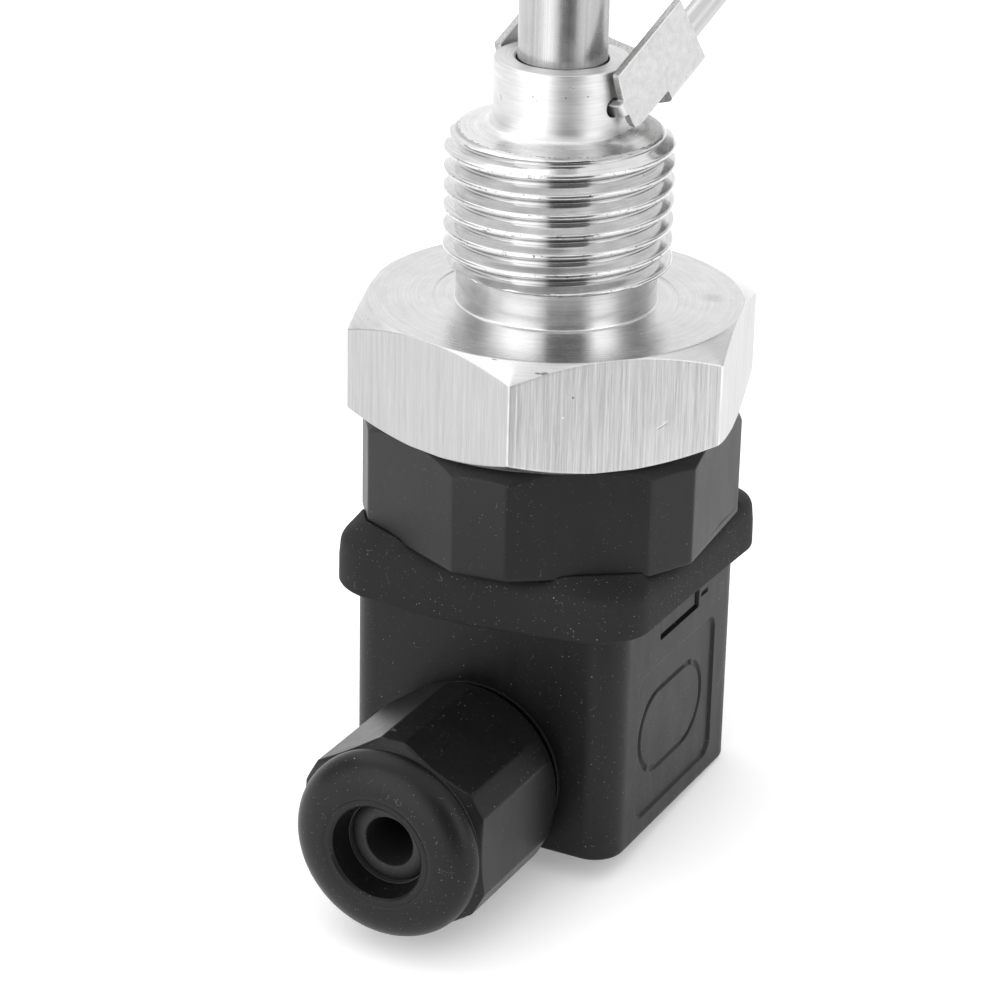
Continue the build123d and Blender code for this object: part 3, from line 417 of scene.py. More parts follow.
def steel_turned(name, tone=0.63, rough=0.24, aniso=0.65, lines=0.5, depth=0.0016, coarse=0.25, crest=None, rim=None, axes=None, spot_cells=1.1, spots=(), smudge=None, low=0.86, high=1.12):
    m = Mat(name, axes)
    fine = m.noise(turned_vector(m, 7.0), 1.0, 3.0, 0.6)
    wide = m.noise(turned_vector(m, 1.6, 0.3), 1.0, 2.0, 0.5)
    cloud = m.noise(m.mm(), 0.35, 3.0, 0.55)
    t = m.math("ADD", m.math("MULTIPLY", fine, lines), m.math("MULTIPLY", wide, coarse))
    t = m.math("DIVIDE", m.math("ADD", t, m.math("MULTIPLY", cloud, 0.35)), lines + coarse + 0.35)
    col = m.ramp(m.span(t, 0.34, 0.66, 0, 1), (0.0, tone * low), (1.0, min(tone * high, 1.0)))
    pits = m.specks(spot_cells, 0.11, 0.30, seed=3.1)
    col = m.mix(m.math("MULTIPLY", pits, 0.7), col, (0.12, 0.118, 0.115))
    scr = m.specks(0.42, 0.09, 0.5, vec=m.vec("MULTIPLY", m.mm(), (1.0, 1.0, 4.5)), seed=8.8)
    col = m.mix(m.math("MULTIPLY", scr, 0.35), col, (0.30, 0.30, 0.30))
    if smudge:
        place_mm, size = smudge
        d = m.vec("LENGTH", m.vec("SUBTRACT", m.mm(), place_mm))
        cloudy = m.math("MULTIPLY", m.span(d, size * 0.35, size, 0.28, 0.0), m.span(m.noise(m.mm(), 1.6, 3.0, 0.6), 0.3, 0.65, 0.4, 1.0))
        col = m.mix(cloudy, col, (0.16, 0.16, 0.16))
    if spots:
        own = m.marks(spots)
        col = m.mix(m.math("MULTIPLY", own, 0.75), col, (0.13, 0.125, 0.12))
        pits = m.math("MAXIMUM", pits, m.math("MULTIPLY", own, 0.6))
    if crest:
        x, y, z = m.xyz()
        r = m.vec("LENGTH", m.join(x, y, 0.0))
        # painted shade: the thread's colour darkens towards the root radius, where shade falls between the flanks
        col = m.mix(m.span(r, ROOT_R + 0.01, ROOT_R + 0.12, 0.35, 0.0), col, (0.08, 0.08, 0.08))
        burr = m.math("MULTIPLY", m.span(r, crest - 0.12, crest - 0.02, 0, 1), m.span(m.noise(m.mm(), 3.4, 2.0, 0.6), 0.60, 0.67, 0, 1))
        col = m.mix(m.math("MULTIPLY", burr, 0.75), col, (0.08, 0.08, 0.08))
    if rim:
        x, y, z = m.xyz()
        r = m.vec("LENGTH", m.join(x, y, 0.0))
        # a dark dotted line in the colour round radius rim, broken into dots by noise
        worn = m.math("MULTIPLY", m.span(m.math("ABSOLUTE", m.math("SUBTRACT", r, rim)), 0.05, 0.13, 1, 0), m.span(m.noise(m.mm(), 2.6, 2.0, 0.6), 0.54, 0.62, 0, 1))
        col = m.mix(m.math("MULTIPLY", worn, 0.85), col, (0.07, 0.07, 0.07))
    rg = m.span(m.math("ADD", m.math("MULTIPLY", fine, 0.6), m.math("MULTIPLY", cloud, 0.4)), 0.3, 0.7, rough * 0.8, rough * 1.25)
    b = m.bump(fine, depth)
    b = m.bump(wide, depth * 1.4, normal=b)
    b = m.bump(m.math("MULTIPLY", pits, -1.0), 0.02, normal=b)
    return m.done(color=col, rough=rg, metal=1.0, aniso=aniso, rotation=0.25, tangent=radial_tangent(m), normal=b)


def steel_flat(name):
    """Cold drawn bar: fine streaks along the bar."""
    m = Mat(name)
    x, y, z = m.xyz()
    v = m.join(m.math("MULTIPLY", x, 9.5), m.math("MULTIPLY", y, 9.5), m.math("MULTIPLY", z, 0.20))
    v2 = m.join(m.math("MULTIPLY", x, 3.6), m.math("MULTIPLY", y, 3.6), m.math("MULTIPLY", z, 0.04))
    fine = m.noise(v, 1.0, 4.0, 0.75)
    wide = m.noise(v2, 1.0, 3.0, 0.6)
    cloud = m.noise(m.mm(), 0.12, 2.0, 0.5)
    t = m.math("ADD", m.math("MULTIPLY", fine, 0.68), m.math("MULTIPLY", wide, 0.32))
    col = m.ramp(m.span(t, 0.34, 0.68, 0, 1), (0.0, 0.38), (0.45, 0.55), (1.0, 0.74))
    scratch = m.specks(0.22, 0.05, 0.9, vec=m.join(m.math("MULTIPLY", x, 1.0), m.math("MULTIPLY", y, 1.0), m.math("MULTIPLY", z, 0.6)), seed=9.4)
    pits = m.specks(0.5, 0.055, 0.5, seed=1.7)
    col = m.mix(m.math("MULTIPLY", pits, 0.8), col, (0.12, 0.12, 0.12))
    col = m.mix(m.math("MULTIPLY", scratch, 0.5), col, (0.9, 0.9, 0.9))
    own = m.marks(HEX_MARKS)
    col = m.mix(m.math("MULTIPLY", own, 0.8), col, (0.14, 0.135, 0.13))
    pits = m.math("MAXIMUM", pits, own)
    light = m.marks(HEX_LIGHT)
    col = m.mix(m.math("MULTIPLY", light, 0.7), col, (0.92, 0.92, 0.92))
    r = m.vec("LENGTH", m.join(x, y, 0.0))
    # painted highlight: a light line along the hex's upright corner roundings and along the top chamfer edge, broken
    # into patches by noise
    highlight_patches = m.span(m.noise(m.join(x, y, m.math("MULTIPLY", z, 0.4)), 1.2, 1.0, 0.5), 0.35, 0.6, 0.5, 1.0)
    upright_edge_highlight = m.span(r, 19.525, 19.56, 0.0, 1.0)
    rise = m.math("ADD", z, m.math("MULTIPLY", m.math("SUBTRACT", r, HEX_FLAT_R), 0.57735))
    top_edge_highlight = m.span(rise, -0.11, -0.03, 0.0, 1.0)
    edge = m.math("MULTIPLY", m.math("MAXIMUM", upright_edge_highlight, top_edge_highlight), highlight_patches)
    col = m.mix(m.math("MULTIPLY", edge, 0.7), col, (0.88, 0.88, 0.88))
    # painted shade: the flat facing -105 degrees gets a darker colour than its neighbours
    side_turn = m.vec("DOT_PRODUCT", m.mm(), (math.cos(math.radians(-105)), math.sin(math.radians(-105)), 0.0))
    dull = m.span(side_turn, 16.6, 16.8, 0.0, 1.0)
    col = m.mix(m.math("MULTIPLY", dull, 0.55), col, (0.37, 0.37, 0.37))
    rg = m.span(m.math("ADD", m.math("MULTIPLY", t, 0.7), m.math("MULTIPLY", cloud, 0.3)), 0.3, 0.7, 0.30, 0.42)
    b = m.bump(fine, 0.004)
    b = m.bump(wide, 0.005, normal=b)
    b = m.bump(m.math("MULTIPLY", pits, -1.0), 0.03, normal=b)
    return m.done(color=col, rough=rg, metal=1.0, aniso=0.55, rotation=0.0, tangent=radial_tangent(m), normal=b)


def steel_along(name, tone=0.6, rough=0.28, axis=2, freq=6.0, depth=0.002, aniso=0.5, contrast=1.0, axes=None):
    """Drawn or ground steel with streaks along one axis of the piece."""
    m = Mat(name, axes)
    parts = list(m.xyz())[:3]
    v = m.join(*[m.math("MULTIPLY", p, 0.08 if k == axis else freq) for k, p in enumerate(parts)])
    w = m.join(*[m.math("MULTIPLY", p, 0.02 if k == axis else freq * 0.22) for k, p in enumerate(parts)])
    fine, wide = m.noise(v, 1.0, 3.0, 0.6), m.noise(w, 1.0, 2.0, 0.5)
    cloud = m.noise(m.mm(), 0.5, 3.0, 0.5)
    t = m.math("ADD", m.math("MULTIPLY", fine, 0.5), m.math("ADD", m.math("MULTIPLY", wide, 0.3), m.math("MULTIPLY", cloud, 0.2)))
    col = m.ramp(m.span(t, 0.3, 0.7, 0, 1), (0.0, tone * (1 - 0.16 * contrast)), (1.0, tone * (1 + 0.13 * contrast)))
    rg = m.span(cloud, 0.3, 0.7, rough * 0.85, rough * 1.2)
    b = m.bump(fine, depth)
    return m.done(color=col, rough=rg, metal=1.0, aniso=aniso, rotation=0.0, tangent=radial_tangent(m), normal=b)


def steel_sheet(name):
    """Tumbled sheet: dull, with small scuffs in every direction."""
    m = Mat(name)
    grain = m.noise(m.mm(), 9.0, 3.0, 0.65)
    mott = m.noise(m.mm(), 1.3, 4.0, 0.6)
    scuff = m.noise(m.vec("MULTIPLY", m.mm(), (2.2, 7.0, 1.1)), 1.0, 3.0, 0.7, 1.2)
    t = m.math("ADD", m.math("MULTIPLY", grain, 0.4), m.math("ADD", m.math("MULTIPLY", mott, 0.35), m.math("MULTIPLY", scuff, 0.25)))
    col = m.ramp(m.span(t, 0.33, 0.68, 0, 1), (0.0, 0.47), (0.5, 0.57), (1.0, 0.68))
    marks = m.specks(1.6, 0.11, 0.3, seed=5.5)
    col = m.mix(m.math("MULTIPLY", marks, 0.4), col, (0.85, 0.85, 0.85))
    facing = m.math("ABSOLUTE", m.vec("DOT_PRODUCT", m.node("ShaderNodeTexCoord").outputs["Normal"], tuple(float(k) for k in HINGE)))
    # darker colour, in noisy patches, on every face that does not face along the hinge: the cut edges, the bends and
    # the web
    across_hinge = m.span(facing, 0.35, 0.75, 1.0, 0.0)
    dark_across_hinge = m.math("MULTIPLY", across_hinge, m.span(m.noise(m.mm(), 7.0, 2.0, 0.7), 0.42, 0.60, 0.25, 0.85))
    col = m.mix(dark_across_hinge, col, (0.27, 0.265, 0.26))
    # painted highlight: a light line where the normal turns between along the hinge and across it, on the rounded edges
    # and the bends
    rounding_highlight = m.math("MULTIPLY", m.span(facing, 0.55, 0.75, 0.0, 1.0), m.span(facing, 0.86, 0.96, 1.0, 0.0))
    col = m.mix(m.math("MULTIPLY", rounding_highlight, 0.7), col, (0.92, 0.92, 0.92))
    rg = m.span(t, 0.3, 0.7, 0.50, 0.38)
    b = m.bump(grain, 0.005)
    b = m.bump(mott, 0.012, normal=b)
    return m.done(color=col, rough=rg, metal=1.0, normal=b)


def steel_weld(name):
    m = Mat(name)
    tint = m.noise(m.mm(), 0.9, 3.0, 0.6)
    grain = m.noise(m.mm(), 6.0, 3.0, 0.6)
    col = m.ramp(tint, (0.30, (0.30, 0.28, 0.27)), (0.5, (0.50, 0.46, 0.40)), (0.7, (0.62, 0.61, 0.60)))
    b = m.bump(grain, 0.01)
    return m.done(color=col, rough=m.span(grain, 0.3, 0.7, 0.28, 0.45), metal=1.0, normal=b)


def metal_plain(name, color, rough, grain_mm=0.15, depth=0.004):
    m = Mat(name)
    g = m.noise(m.mm(), 1.0 / grain_mm, 3.0, 0.6)
    c = m.noise(m.mm(), 0.8, 3.0, 0.6)
    lo, hi = tuple(k * 0.82 for k in color), tuple(min(k * 1.14, 1) for k in color)
    col = m.ramp(m.math("ADD", m.math("MULTIPLY", g, 0.4), m.math("MULTIPLY", c, 0.6)), (0.3, lo), (0.7, hi))
    return m.done(color=col, rough=m.span(c, 0.3, 0.7, rough * 0.8, rough * 1.25), metal=1.0, normal=m.bump(g, depth))


def plastic(name, tone, rough, grain=5.0, depth=0.004, dust=0.5, dust_cells=0.8, blue=1.04, spec=0.5, lint=True):
    """Moulded glass-filled nylon: even satin skin, faint mottling, a little dust."""
    m = Mat(name)
    g = m.noise(m.mm(), grain, 3.0, 0.6)
    flow = m.noise(m.vec("MULTIPLY", m.mm(), (0.5, 0.5, 0.16)), 1.0, 4.0, 0.6, 0.6)
    cloud = m.noise(m.mm(), 0.13, 2.0, 0.5)
    t = m.math("ADD", m.math("MULTIPLY", g, 0.25), m.math("ADD", m.math("MULTIPLY", flow, 0.45), m.math("MULTIPLY", cloud, 0.3)))
    lo, hi = (tone * 0.82, tone * 0.82, tone * 0.82 * blue), (tone * 1.22, tone * 1.22, tone * 1.22 * blue)
    col = m.ramp(t, (0.32, lo), (0.68, hi))
    rg = m.span(m.math("ADD", m.math("MULTIPLY", g, 0.4), m.math("MULTIPLY", flow, 0.6)), 0.3, 0.7, rough * 0.86, rough * 1.16)
    where = m.span(m.noise(m.mm(), 0.12, 2.0, 0.5), 0.38, 0.62, 0.45, 1.0)
    spots = m.specks(1.5, 0.11, dust_cells * 0.6, seed=2.3)
    fine = m.specks(3.6, 0.22, dust_cells * 0.42, seed=7.9, least=0.5, power=2.0)
    dirt = m.math("ADD", spots, m.math("MULTIPLY", m.math("MULTIPLY", fine, 0.55), where), clamp=True)
    if lint:
        wisp = m.noise(m.mm(), 0.42, 0.0, 0.4, 0.8)
        patch = m.span(m.noise(m.mm(), 0.5, 1.0, 0.5), 0.64, 0.68, 0, 1)
        line = m.span(m.math("ABSOLUTE", m.math("SUBTRACT", wisp, 0.5)), 0.0, 0.005, 1, 0)
        dirt = m.math("MAXIMUM", dirt, m.math("MULTIPLY", m.math("MULTIPLY", line, patch), 0.35))
    col = m.mix(m.math("MULTIPLY", dirt, dust), col, (0.46, 0.46, 0.46))
    rg = m.math("ADD", rg, m.math("MULTIPLY", dirt, 0.3), clamp=True)
    b = m.bump(g, depth)
    b = m.bump(flow, depth * 1.6, normal=b)
    return m.done(color=col, rough=rg, normal=b, spec=spec)


def rubber(name, tone, rough=0.72, dust=0.75, cells=1.25, depth=0.01, spec=0.35):
    m = Mat(name)
    g = m.noise(m.mm(), 4.5, 4.0, 0.65)
    wide = m.noise(m.mm(), 0.55, 4.0, 0.6)
    bloom = m.noise(m.vec("MULTIPLY", m.mm(), (0.25, 0.25, 0.4)), 1.0, 4.0, 0.65)
    t = m.math("ADD", m.math("MULTIPLY", g, 0.3), m.math("ADD", m.math("MULTIPLY", wide, 0.3), m.math("MULTIPLY", bloom, 0.4)))
    col = m.ramp(t, (0.33, (tone * 0.75,) * 3), (0.7, (tone * 1.4,) * 3))
    where = m.span(m.noise(m.mm(), 0.15, 2.0, 0.5), 0.36, 0.60, 0.5, 1.0)
    spots = m.specks(1.8, 0.12, 0.6, seed=4.4)
    fine = m.specks(3.8, 0.24, 0.42, seed=6.1, least=0.5, power=2.0)
    dirt = m.math("ADD", spots, m.math("MULTIPLY", m.math("MULTIPLY", fine, 0.55), where), clamp=True)
    wisp = m.noise(m.mm(), 0.5, 0.0, 0.4, 0.8)
    patch = m.span(m.noise(m.mm(), 0.6, 1.0, 0.5), 0.62, 0.66, 0, 1)
    line = m.span(m.math("ABSOLUTE", m.math("SUBTRACT", wisp, 0.5)), 0.0, 0.006, 1, 0)
    dirt = m.math("MAXIMUM", dirt, m.math("MULTIPLY", m.math("MULTIPLY", line, patch), 0.4))
    col = m.mix(m.math("MULTIPLY", dirt, dust), col, (0.48, 0.48, 0.48))
    b = m.bump(g, depth)
    b = m.bump(wide, depth * 2.0, normal=b)
    return m.done(color=col, rough=m.span(t, 0.3, 0.7, rough * 0.9, min(rough * 1.12, 1.0)), normal=b, spec=spec)


ROD_AXES = (PIVOT + RISE * ROD_H, HINGE, -RISE, ARM)
M = {
    "turned": steel_turned("turned_steel", 0.60, 0.28, spots=CHAMFER_MARKS),
    "face": steel_turned("faced_steel", 0.62, 0.24, 0.6, lines=0.42, depth=0.0014, coarse=0.22, smudge=((12.67, 6.55, 0.0), 1.35)),
    "top": steel_turned("shoulder_steel", 0.72, 0.27, 0.0, lines=0.5, depth=0.0014, coarse=0.3, rim=9.08, low=0.78, high=1.16),
    "thread": steel_turned("threaded_steel", 0.63, 0.125, 0.3, lines=0.4, depth=0.0010, crest=THREAD_R, spot_cells=1.6, low=0.78, high=1.16),
    "neck": steel_turned("neck_steel", 0.70, 0.47, 0.60, lines=0.7, depth=0.0020, coarse=0.55, spot_cells=0.8, spots=NECK_MARKS, low=0.82, high=1.16),
    "relief": steel_turned("relief_steel", 0.70, 0.17, 0.5, lines=0.45, depth=0.0012, coarse=0.3),
    "flat": steel_flat("drawn_hexagon_steel"),
    "tube": steel_along("tube_steel", 0.43, 0.27, freq=9.0, depth=0.0005, aniso=0.5, contrast=1.6),
    "sheet": steel_sheet("tumbled_sheet_steel"),
    "rod": steel_along("rod_steel", 0.50, 0.28, freq=4.0, depth=0.0025, contrast=0.8, axes=ROD_AXES),
    "float": steel_turned("float_steel", 0.50, 0.25, 0.45, lines=0.5, depth=0.0018, axes=ROD_AXES),
    "weld": steel_weld("weld_steel"),
    "screw": metal_plain("plated_screw", (0.62, 0.61, 0.58), 0.30),
    "contact": metal_plain("tinned_contact", (0.74, 0.72, 0.69), 0.28),
    "brass": metal_plain("brass", (0.72, 0.55, 0.28), 0.26),
    "magnet": metal_plain("sintered_magnet", (0.14, 0.14, 0.15), 0.55, 0.1, 0.01),
    "base": plastic("base_nylon", 0.010, 0.40, grain=6.0, depth=0.003, dust=0.38, dust_cells=0.75, spec=0.25),
    "housing": plastic("housing_nylon", 0.007, 0.42, grain=5.5, depth=0.004, dust=0.55, dust_cells=0.95, spec=0.25),
    "nut": plastic("nut_nylon", 0.006, 0.34, grain=6.0, depth=0.0025, dust=0.6, dust_cells=1.0, spec=0.25),
    "insert": plastic("insert_nylon", 0.04, 0.5),
    "gasket": rubber("gasket_rubber", 0.012, dust=0.62, spec=0.25),
    "seal": rubber("seal_rubber", 0.018, 0.55, dust=0.1),
    "bush": rubber("bush_rubber", 0.026, 0.6, dust=0.25, cells=0.9, depth=0.004),
    "resin": plastic("cast_resin", 0.03, 0.3, dust=0.05),
    "sleeve": plastic("shrink_sleeve", 0.05, 0.5, dust=0.05),
}


def wire_material():
    m = Mat("wire_insulation")
    g = m.noise(m.mm(), 3.0, 3.0, 0.6)
    return m.done(color=m.ramp(g, (0.3, (0.24, 0.035, 0.03)), (0.7, (0.38, 0.07, 0.06))), rough=m.span(g, 0.3, 0.7, 0.38, 0.5), normal=m.bump(g, 0.004))


def glass_material():
    m = Mat("reed_glass")
    g = m.noise(m.mm(), 1.2, 3.0, 0.6)
    return m.done(color=m.ramp(g, (0.3, (0.55, 0.74, 0.66)), (0.7, (0.70, 0.86, 0.80))), rough=m.span(g, 0.3, 0.7, 0.02, 0.08), transmission=0.9, ior=1.5)


M["wire"], M["glass"] = wire_material(), glass_material()


def dress(obj, *keys):
    obj.data.materials.clear()
    for k in keys:
        obj.data.materials.append(M[k])


# ------------------------------------------------------------------ turned steel body
def hexagon_radius(deg, rho=0.3):
    """Rounded hexagon: the corner arcs have radius rho."""
    d = (deg - HEX_CORNER_DEG + 30) % 60 - 30            # angle from the nearest corner
    flat = HEX_AF / 2 / np.cos(np.radians(30 - np.abs(d)))
    dc = (HEX_AF / 2 - rho) / math.cos(math.radians(30))
    lim = 30 - math.degrees(math.atan((HEX_AF / 2 - rho) * math.tan(math.radians(30)) / (HEX_AF / 2)))
    s = np.sin(np.radians(d))
    arc = dc * np.cos(np.radians(d)) + np.sqrt(np.maximum(rho**2 - (dc * s) ** 2, 0))
    return np.where(np.abs(d) < lim, arc, flat)


def turned_body():
    th = columns(240, [HEX_CORNER_DEG + 60 * k for k in range(6)], (-1.0, -0.55, -0.43, -0.28, -0.13, 0, 0.13, 0.28, 0.43, 0.55, 1.0))
    a = np.radians(th)
    rh = hexagon_radius(th)
    over = np.maximum((rh - HEX_FLAT_R) * 0.57735, 0.03)
    rf = np.minimum(HEX_FLAT_R, rh - 0.04)
    k = np.ones_like(rh)

    def point(r, z):
        return np.stack([r * k, z * k], -1)

    rows = [point(13.5, -HEX_H)]
    c1 = corner(point(13.5, -HEX_H), point(rf, -HEX_H), point(rh, -HEX_H + over), 0.16)
    c2 = corner(point(rf, -HEX_H), point(rh, -HEX_H + over), point(rh, -over), 0.14)
    c3 = corner(point(rh, -HEX_H + over), point(rh, -over), point(rf, 0), 0.14)
    c4 = corner(point(rh, -over), point(rf, 0), point(11.3, 0), 0.16)
    rows += [c1[0] + [-0.12, 0]] + c1 + c2 + [c2[-1] + [0, 0.12], c3[0] - [0, 0.12]] + c3 + c4 + [c4[-1] - [0.12, 0]]
    # faced top with a shallow step, groove root and groove wall
    face = rounded([(11.9, 0), (11.22, 0, 0.05), (11.12, -0.12, 0.05), (RELIEF_R, -0.12, 0.22), (RELIEF_R, RELIEF_TOP)], 4, 0.06)
    rows += [point(r, z) for r, z in face]
    b = Build()
    g = np.array(rows)
    b.grid(np.stack([g[..., 0] * np.cos(a), g[..., 0] * np.sin(a), g[..., 1]], -1))
    # helical thread: rows follow the helix and are clamped to both ends
    zlo, zhi, n = RELIEF_TOP, 15.86, 28
    env_z = [3.05, 3.16, 3.72, 14.93, 15.42, 15.86]
    env_r = [RELIEF_R, 9.16, THREAD_R, THREAD_R, 9.88, 9.13]
    z0 = 4.49 + PITCH * 63 / 360 - PITCH / 2
    u = np.arange(int(((zhi - zlo) / PITCH + 1) * n) + 3) * PITCH / n
    u = u + math.floor((zlo - z0 - PITCH) / (PITCH / n)) * PITCH / n
    fine = np.linspace(-0.09, 0.09, 13)

    def profile(x):
        d = np.abs((x + PITCH / 2) % PITCH - PITCH / 2)
        return np.interp(d, [0.16, 0.745], [THREAD_R, ROOT_R])

    crest = np.mean([profile(u + q) for q in fine], 0)
    z = z0 + u[:, None] + PITCH * th[None, :] / 360
    env = np.interp(z, env_z, env_r)
    rough = 0.010 * noise1(a[None, :] * 37 + u[:, None] * 9, 5) * (crest[:, None] > THREAD_R - 0.1)
    r = softmin(crest[:, None] + rough, env, 0.015)
    low, high = z <= zlo + 0.004, z >= zhi - 0.004
    r = np.where(low, env_r[0], np.where(high, env_r[-1], r))
    z = np.where(low, zlo, np.where(high, zhi, z))
    g = np.stack([r * np.cos(a), r * np.sin(a), z], -1)
    rows_n, cols_n = z.shape
    i, j = np.arange(rows_n - 1)[:, None], np.arange(cols_n - 1)[None, :]
    faces = np.stack(np.broadcast_arrays(i * cols_n + j, i * cols_n + j + 1, (i + 1) * cols_n + j + 1, (i + 1) * cols_n + j), -1).reshape(-1, 4).tolist()
    last = cols_n - 1
    for k0 in range(rows_n - 1):
        p, q = min(k0 + n, rows_n - 1), min(k0 + n + 1, rows_n - 1)
        faces.append((k0 * cols_n + last, p * cols_n, q * cols_n, (k0 + 1) * cols_n + last))
    flat = g.reshape(-1, 3)
    keys = np.round(flat * 2000).astype(np.int64)
    _, first, inverse = np.unique(keys, axis=0, return_index=True, return_inverse=True)
    inverse = inverse.reshape(-1)
    clean = []
    for f in faces:
        ids = []
        for vtx in f:
            w = int(inverse[vtx])
            if w not in ids:
                ids.append(w)
        if len(ids) > 2:
            clean.append(tuple(ids))
    b.add(flat[first], clean)
    # chamfer edge, top face, neck, countersink, and the bore and socket back to the lower face
    top = rounded(
        [
            (9.13, 15.86), (9.06, THREAD_TOP, 0.03), (NECK_R + 1.6, THREAD_TOP + 0.10), (NECK_R + 1.1, THREAD_TOP + 0.20), (NECK_R + 0.66, THREAD_TOP + 0.38),
            (NECK_R + 0.34, THREAD_TOP + 0.62), (NECK_R + 0.13, THREAD_TOP + 0.92), (NECK_R + 0.03, THREAD_TOP + 1.22), (NECK_R, THREAD_TOP + 1.5),
            (NECK_R, NECK_TOP, 0.2), (4.30, NECK_TOP, 0.04), (4.14, NECK_TOP - 0.10, 0.03), (4.11, NECK_TOP - 0.8), (4.02, NECK_TOP - 0.85), (4.02, 7.0), (7.0, 7.0),
            (7.0, -4.0), (13.1, -4.0), (13.1, -HEX_H + 0.4), (13.5, -HEX_H),
        ],
        4, 0.08,
    )
    b.grid(revolve(top, th))
    obj = b.make("turned_body", 40.0)
    # pivot holes
    side = place(PIVOT, FLAT, np.array([0, 0, 1.0]), HINGE)
    cut(obj, pin("cutter", PIVOT_R, -8, 8, side))
    return obj


body = turned_body()
me = body.data
body.data.materials.clear()
for key in ("turned", "flat", "thread", "face", "neck", "top", "relief"):
    me.materials.append(M[key])
centres = np.zeros(len(me.polygons) * 3)
normals = np.zeros(len(me.polygons) * 3)
me.polygons.foreach_get("center", centres)
me.polygons.foreach_get("normal", normals)
centres, normals = centres.reshape(-1, 3) / MM, normals.reshape(-1, 3)
radius = np.hypot(centres[:, 0], centres[:, 1])
slots = np.zeros(len(radius), int)
slots[(centres[:, 2] < 0) & (np.abs(normals[:, 2]) < 0.45) & (radius > 16.8)] = 1
slots[(centres[:, 2] > 3.1) & (centres[:, 2] < 15.9) & (radius > 9.0)] = 2
slots[(np.abs(normals[:, 2]) > 0.98) & (radius > 6.5)] = 3
slots[(centres[:, 2] > THREAD_TOP + 0.55) & (radius > 4.5)] = 4
slots[(centres[:, 2] > 15.86) & (centres[:, 2] < THREAD_TOP + 0.55) & (radius > 6.0)] = 5
slots[(slots == 0) & (centres[:, 2] > -0.2) & (centres[:, 2] < 3.2) & (radius > 8.0) & (radius < 9.5)] = 6
me.polygons.foreach_set("material_index", slots.astype(np.int32))
finish_mesh(body, 40.0)
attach(body, "switch_body")
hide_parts("hex_body")

# ------------------------------------------------------------------ stem tube with its welded tip
tip_r = (TUBE_R**2 + (TIP_H - 0.3) ** 2) / (2 * (TIP_H - 0.3))
dome = [(tip_r * math.sin(t), TUBE_END + TIP_H - tip_r * (1 - math.cos(t))) for t in np.linspace(0, math.asin(3.92 / tip_r), 14)][::-1]
b = Build()
prof = np.array([(3.2, 7.0), (3.95, 7.0), (TUBE_R, 7.06), (TUBE_R, 7.3), (TUBE_R, 22.0), (TUBE_R, 40.0), (TUBE_R, TUBE_END - 0.2), (TUBE_R, TUBE_END + 0.12)] + dome[:-1])
g = revolve(prof, n=160)
seam = (np.abs(prof[:, 1] - TUBE_END - 0.2) < 0.35)
b.grid(g)
b.fan(g[-1], (0, 0, TUBE_END + TIP_H))
inner = revolve(np.array([(3.2, 7.0), (3.2, TUBE_END - 0.8)]), n=160)
b.grid(inner)
b.fan(inner[-1], (0, 0, TUBE_END - 0.8))
stem = b.make("stem", 40.0)
dress(stem, "tube")
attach(stem, "switch_body")
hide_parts("stem_tube", "stem_tip")

# ------------------------------------------------------------------ folded bracket
arm_frame = place(PIVOT, HINGE, -RISE, ARM)


def tumbled(name, node, matrix, voxel, rounds, factor=0.5):
    """A copy of a node's solid with its edges worn round, remeshed along the piece's own directions."""
    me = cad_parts[node].data.copy()
    me.transform(matrix.inverted())
    me.transform(Matrix.Scale(1000.0, 4))
    bm = bmesh.new()
    bm.from_mesh(me)
    bmesh.ops.remove_doubles(bm, verts=bm.verts, dist=0.0005)
    bm.to_mesh(me)
    bm.free()
    obj = bpy.data.objects.new(name, me)
    scene.collection.objects.link(obj)
    r = obj.modifiers.new("r", "REMESH")
    r.mode, r.voxel_size, r.adaptivity = "VOXEL", voxel, 0.0
    s = obj.modifiers.new("s", "SMOOTH")
    s.factor, s.iterations = factor, rounds
    apply_modifiers(obj)
    obj.data.transform(Matrix.Scale(MM, 4))
    obj.data.transform(matrix)
    finish_mesh(obj, 60.0)
    return obj


bracket = tumbled("bracket", "float_bracket", arm_frame, 0.085, 2)
dress(bracket, "sheet")
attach(bracket, "float_arm")
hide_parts("float_bracket")

# rod, its weld seams and the float
rod_frame = place(PIVOT + RISE * ROD_H, HINGE, -RISE, ARM)
b = Build()
prof = rounded([(0.02, ROD_NEAR), (ROD_R, ROD_NEAR, 0.35), (ROD_R, 12.0), (ROD_R, 20.0), (ROD_R, ROD_FAR, 0.3), (0.02, ROD_FAR)], 4)
g = revolve(prof, n=64)
b.grid(g)
b.fan(g[0], (0, 0, ROD_NEAR))
b.fan(g[-1], (0, 0, ROD_FAR))
rod = b.make("rod", matrix=rod_frame)
dress(rod, "rod")
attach(rod, "float_arm")
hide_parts("float_rod")

b = Build()
for side, seed in ((1, 11), (-1, 12)):
    s = np.linspace(0, 1, 40)
    th = np.linspace(0, 2 * np.pi, 21)[:-1]
    ends = np.sqrt(np.clip(1 - (2 * s - 1) ** 8, 0, 1))
    rad = (0.62 + 0.07 * np.sin(s * 3.2 / 0.55 * 2 * np.pi) + 0.05 * noise1(s * 12, seed)) * ends + 0.02
    cx = side * (1.05 + 0.05 * noise1(s * 7, seed + 3))
    cy = -(ROD_H * 0 + 0.62) + 0.0 * s
    g = np.stack([cx[:, None] + rad[:, None] * np.cos(th), cy[:, None] + 0.72 * rad[:, None] * np.sin(th), (6.95 + 3.1 * s)[:, None] + 0 * th], -1)
    b.grid(g)
    b.fan(g[0], g[0].mean(0))
    b.fan(g[-1], g[-1].mean(0))
beads = b.make("rod_weld_beads", matrix=rod_frame)
dress(beads, "weld")
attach(beads, "float_arm")
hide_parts("rod_weld")

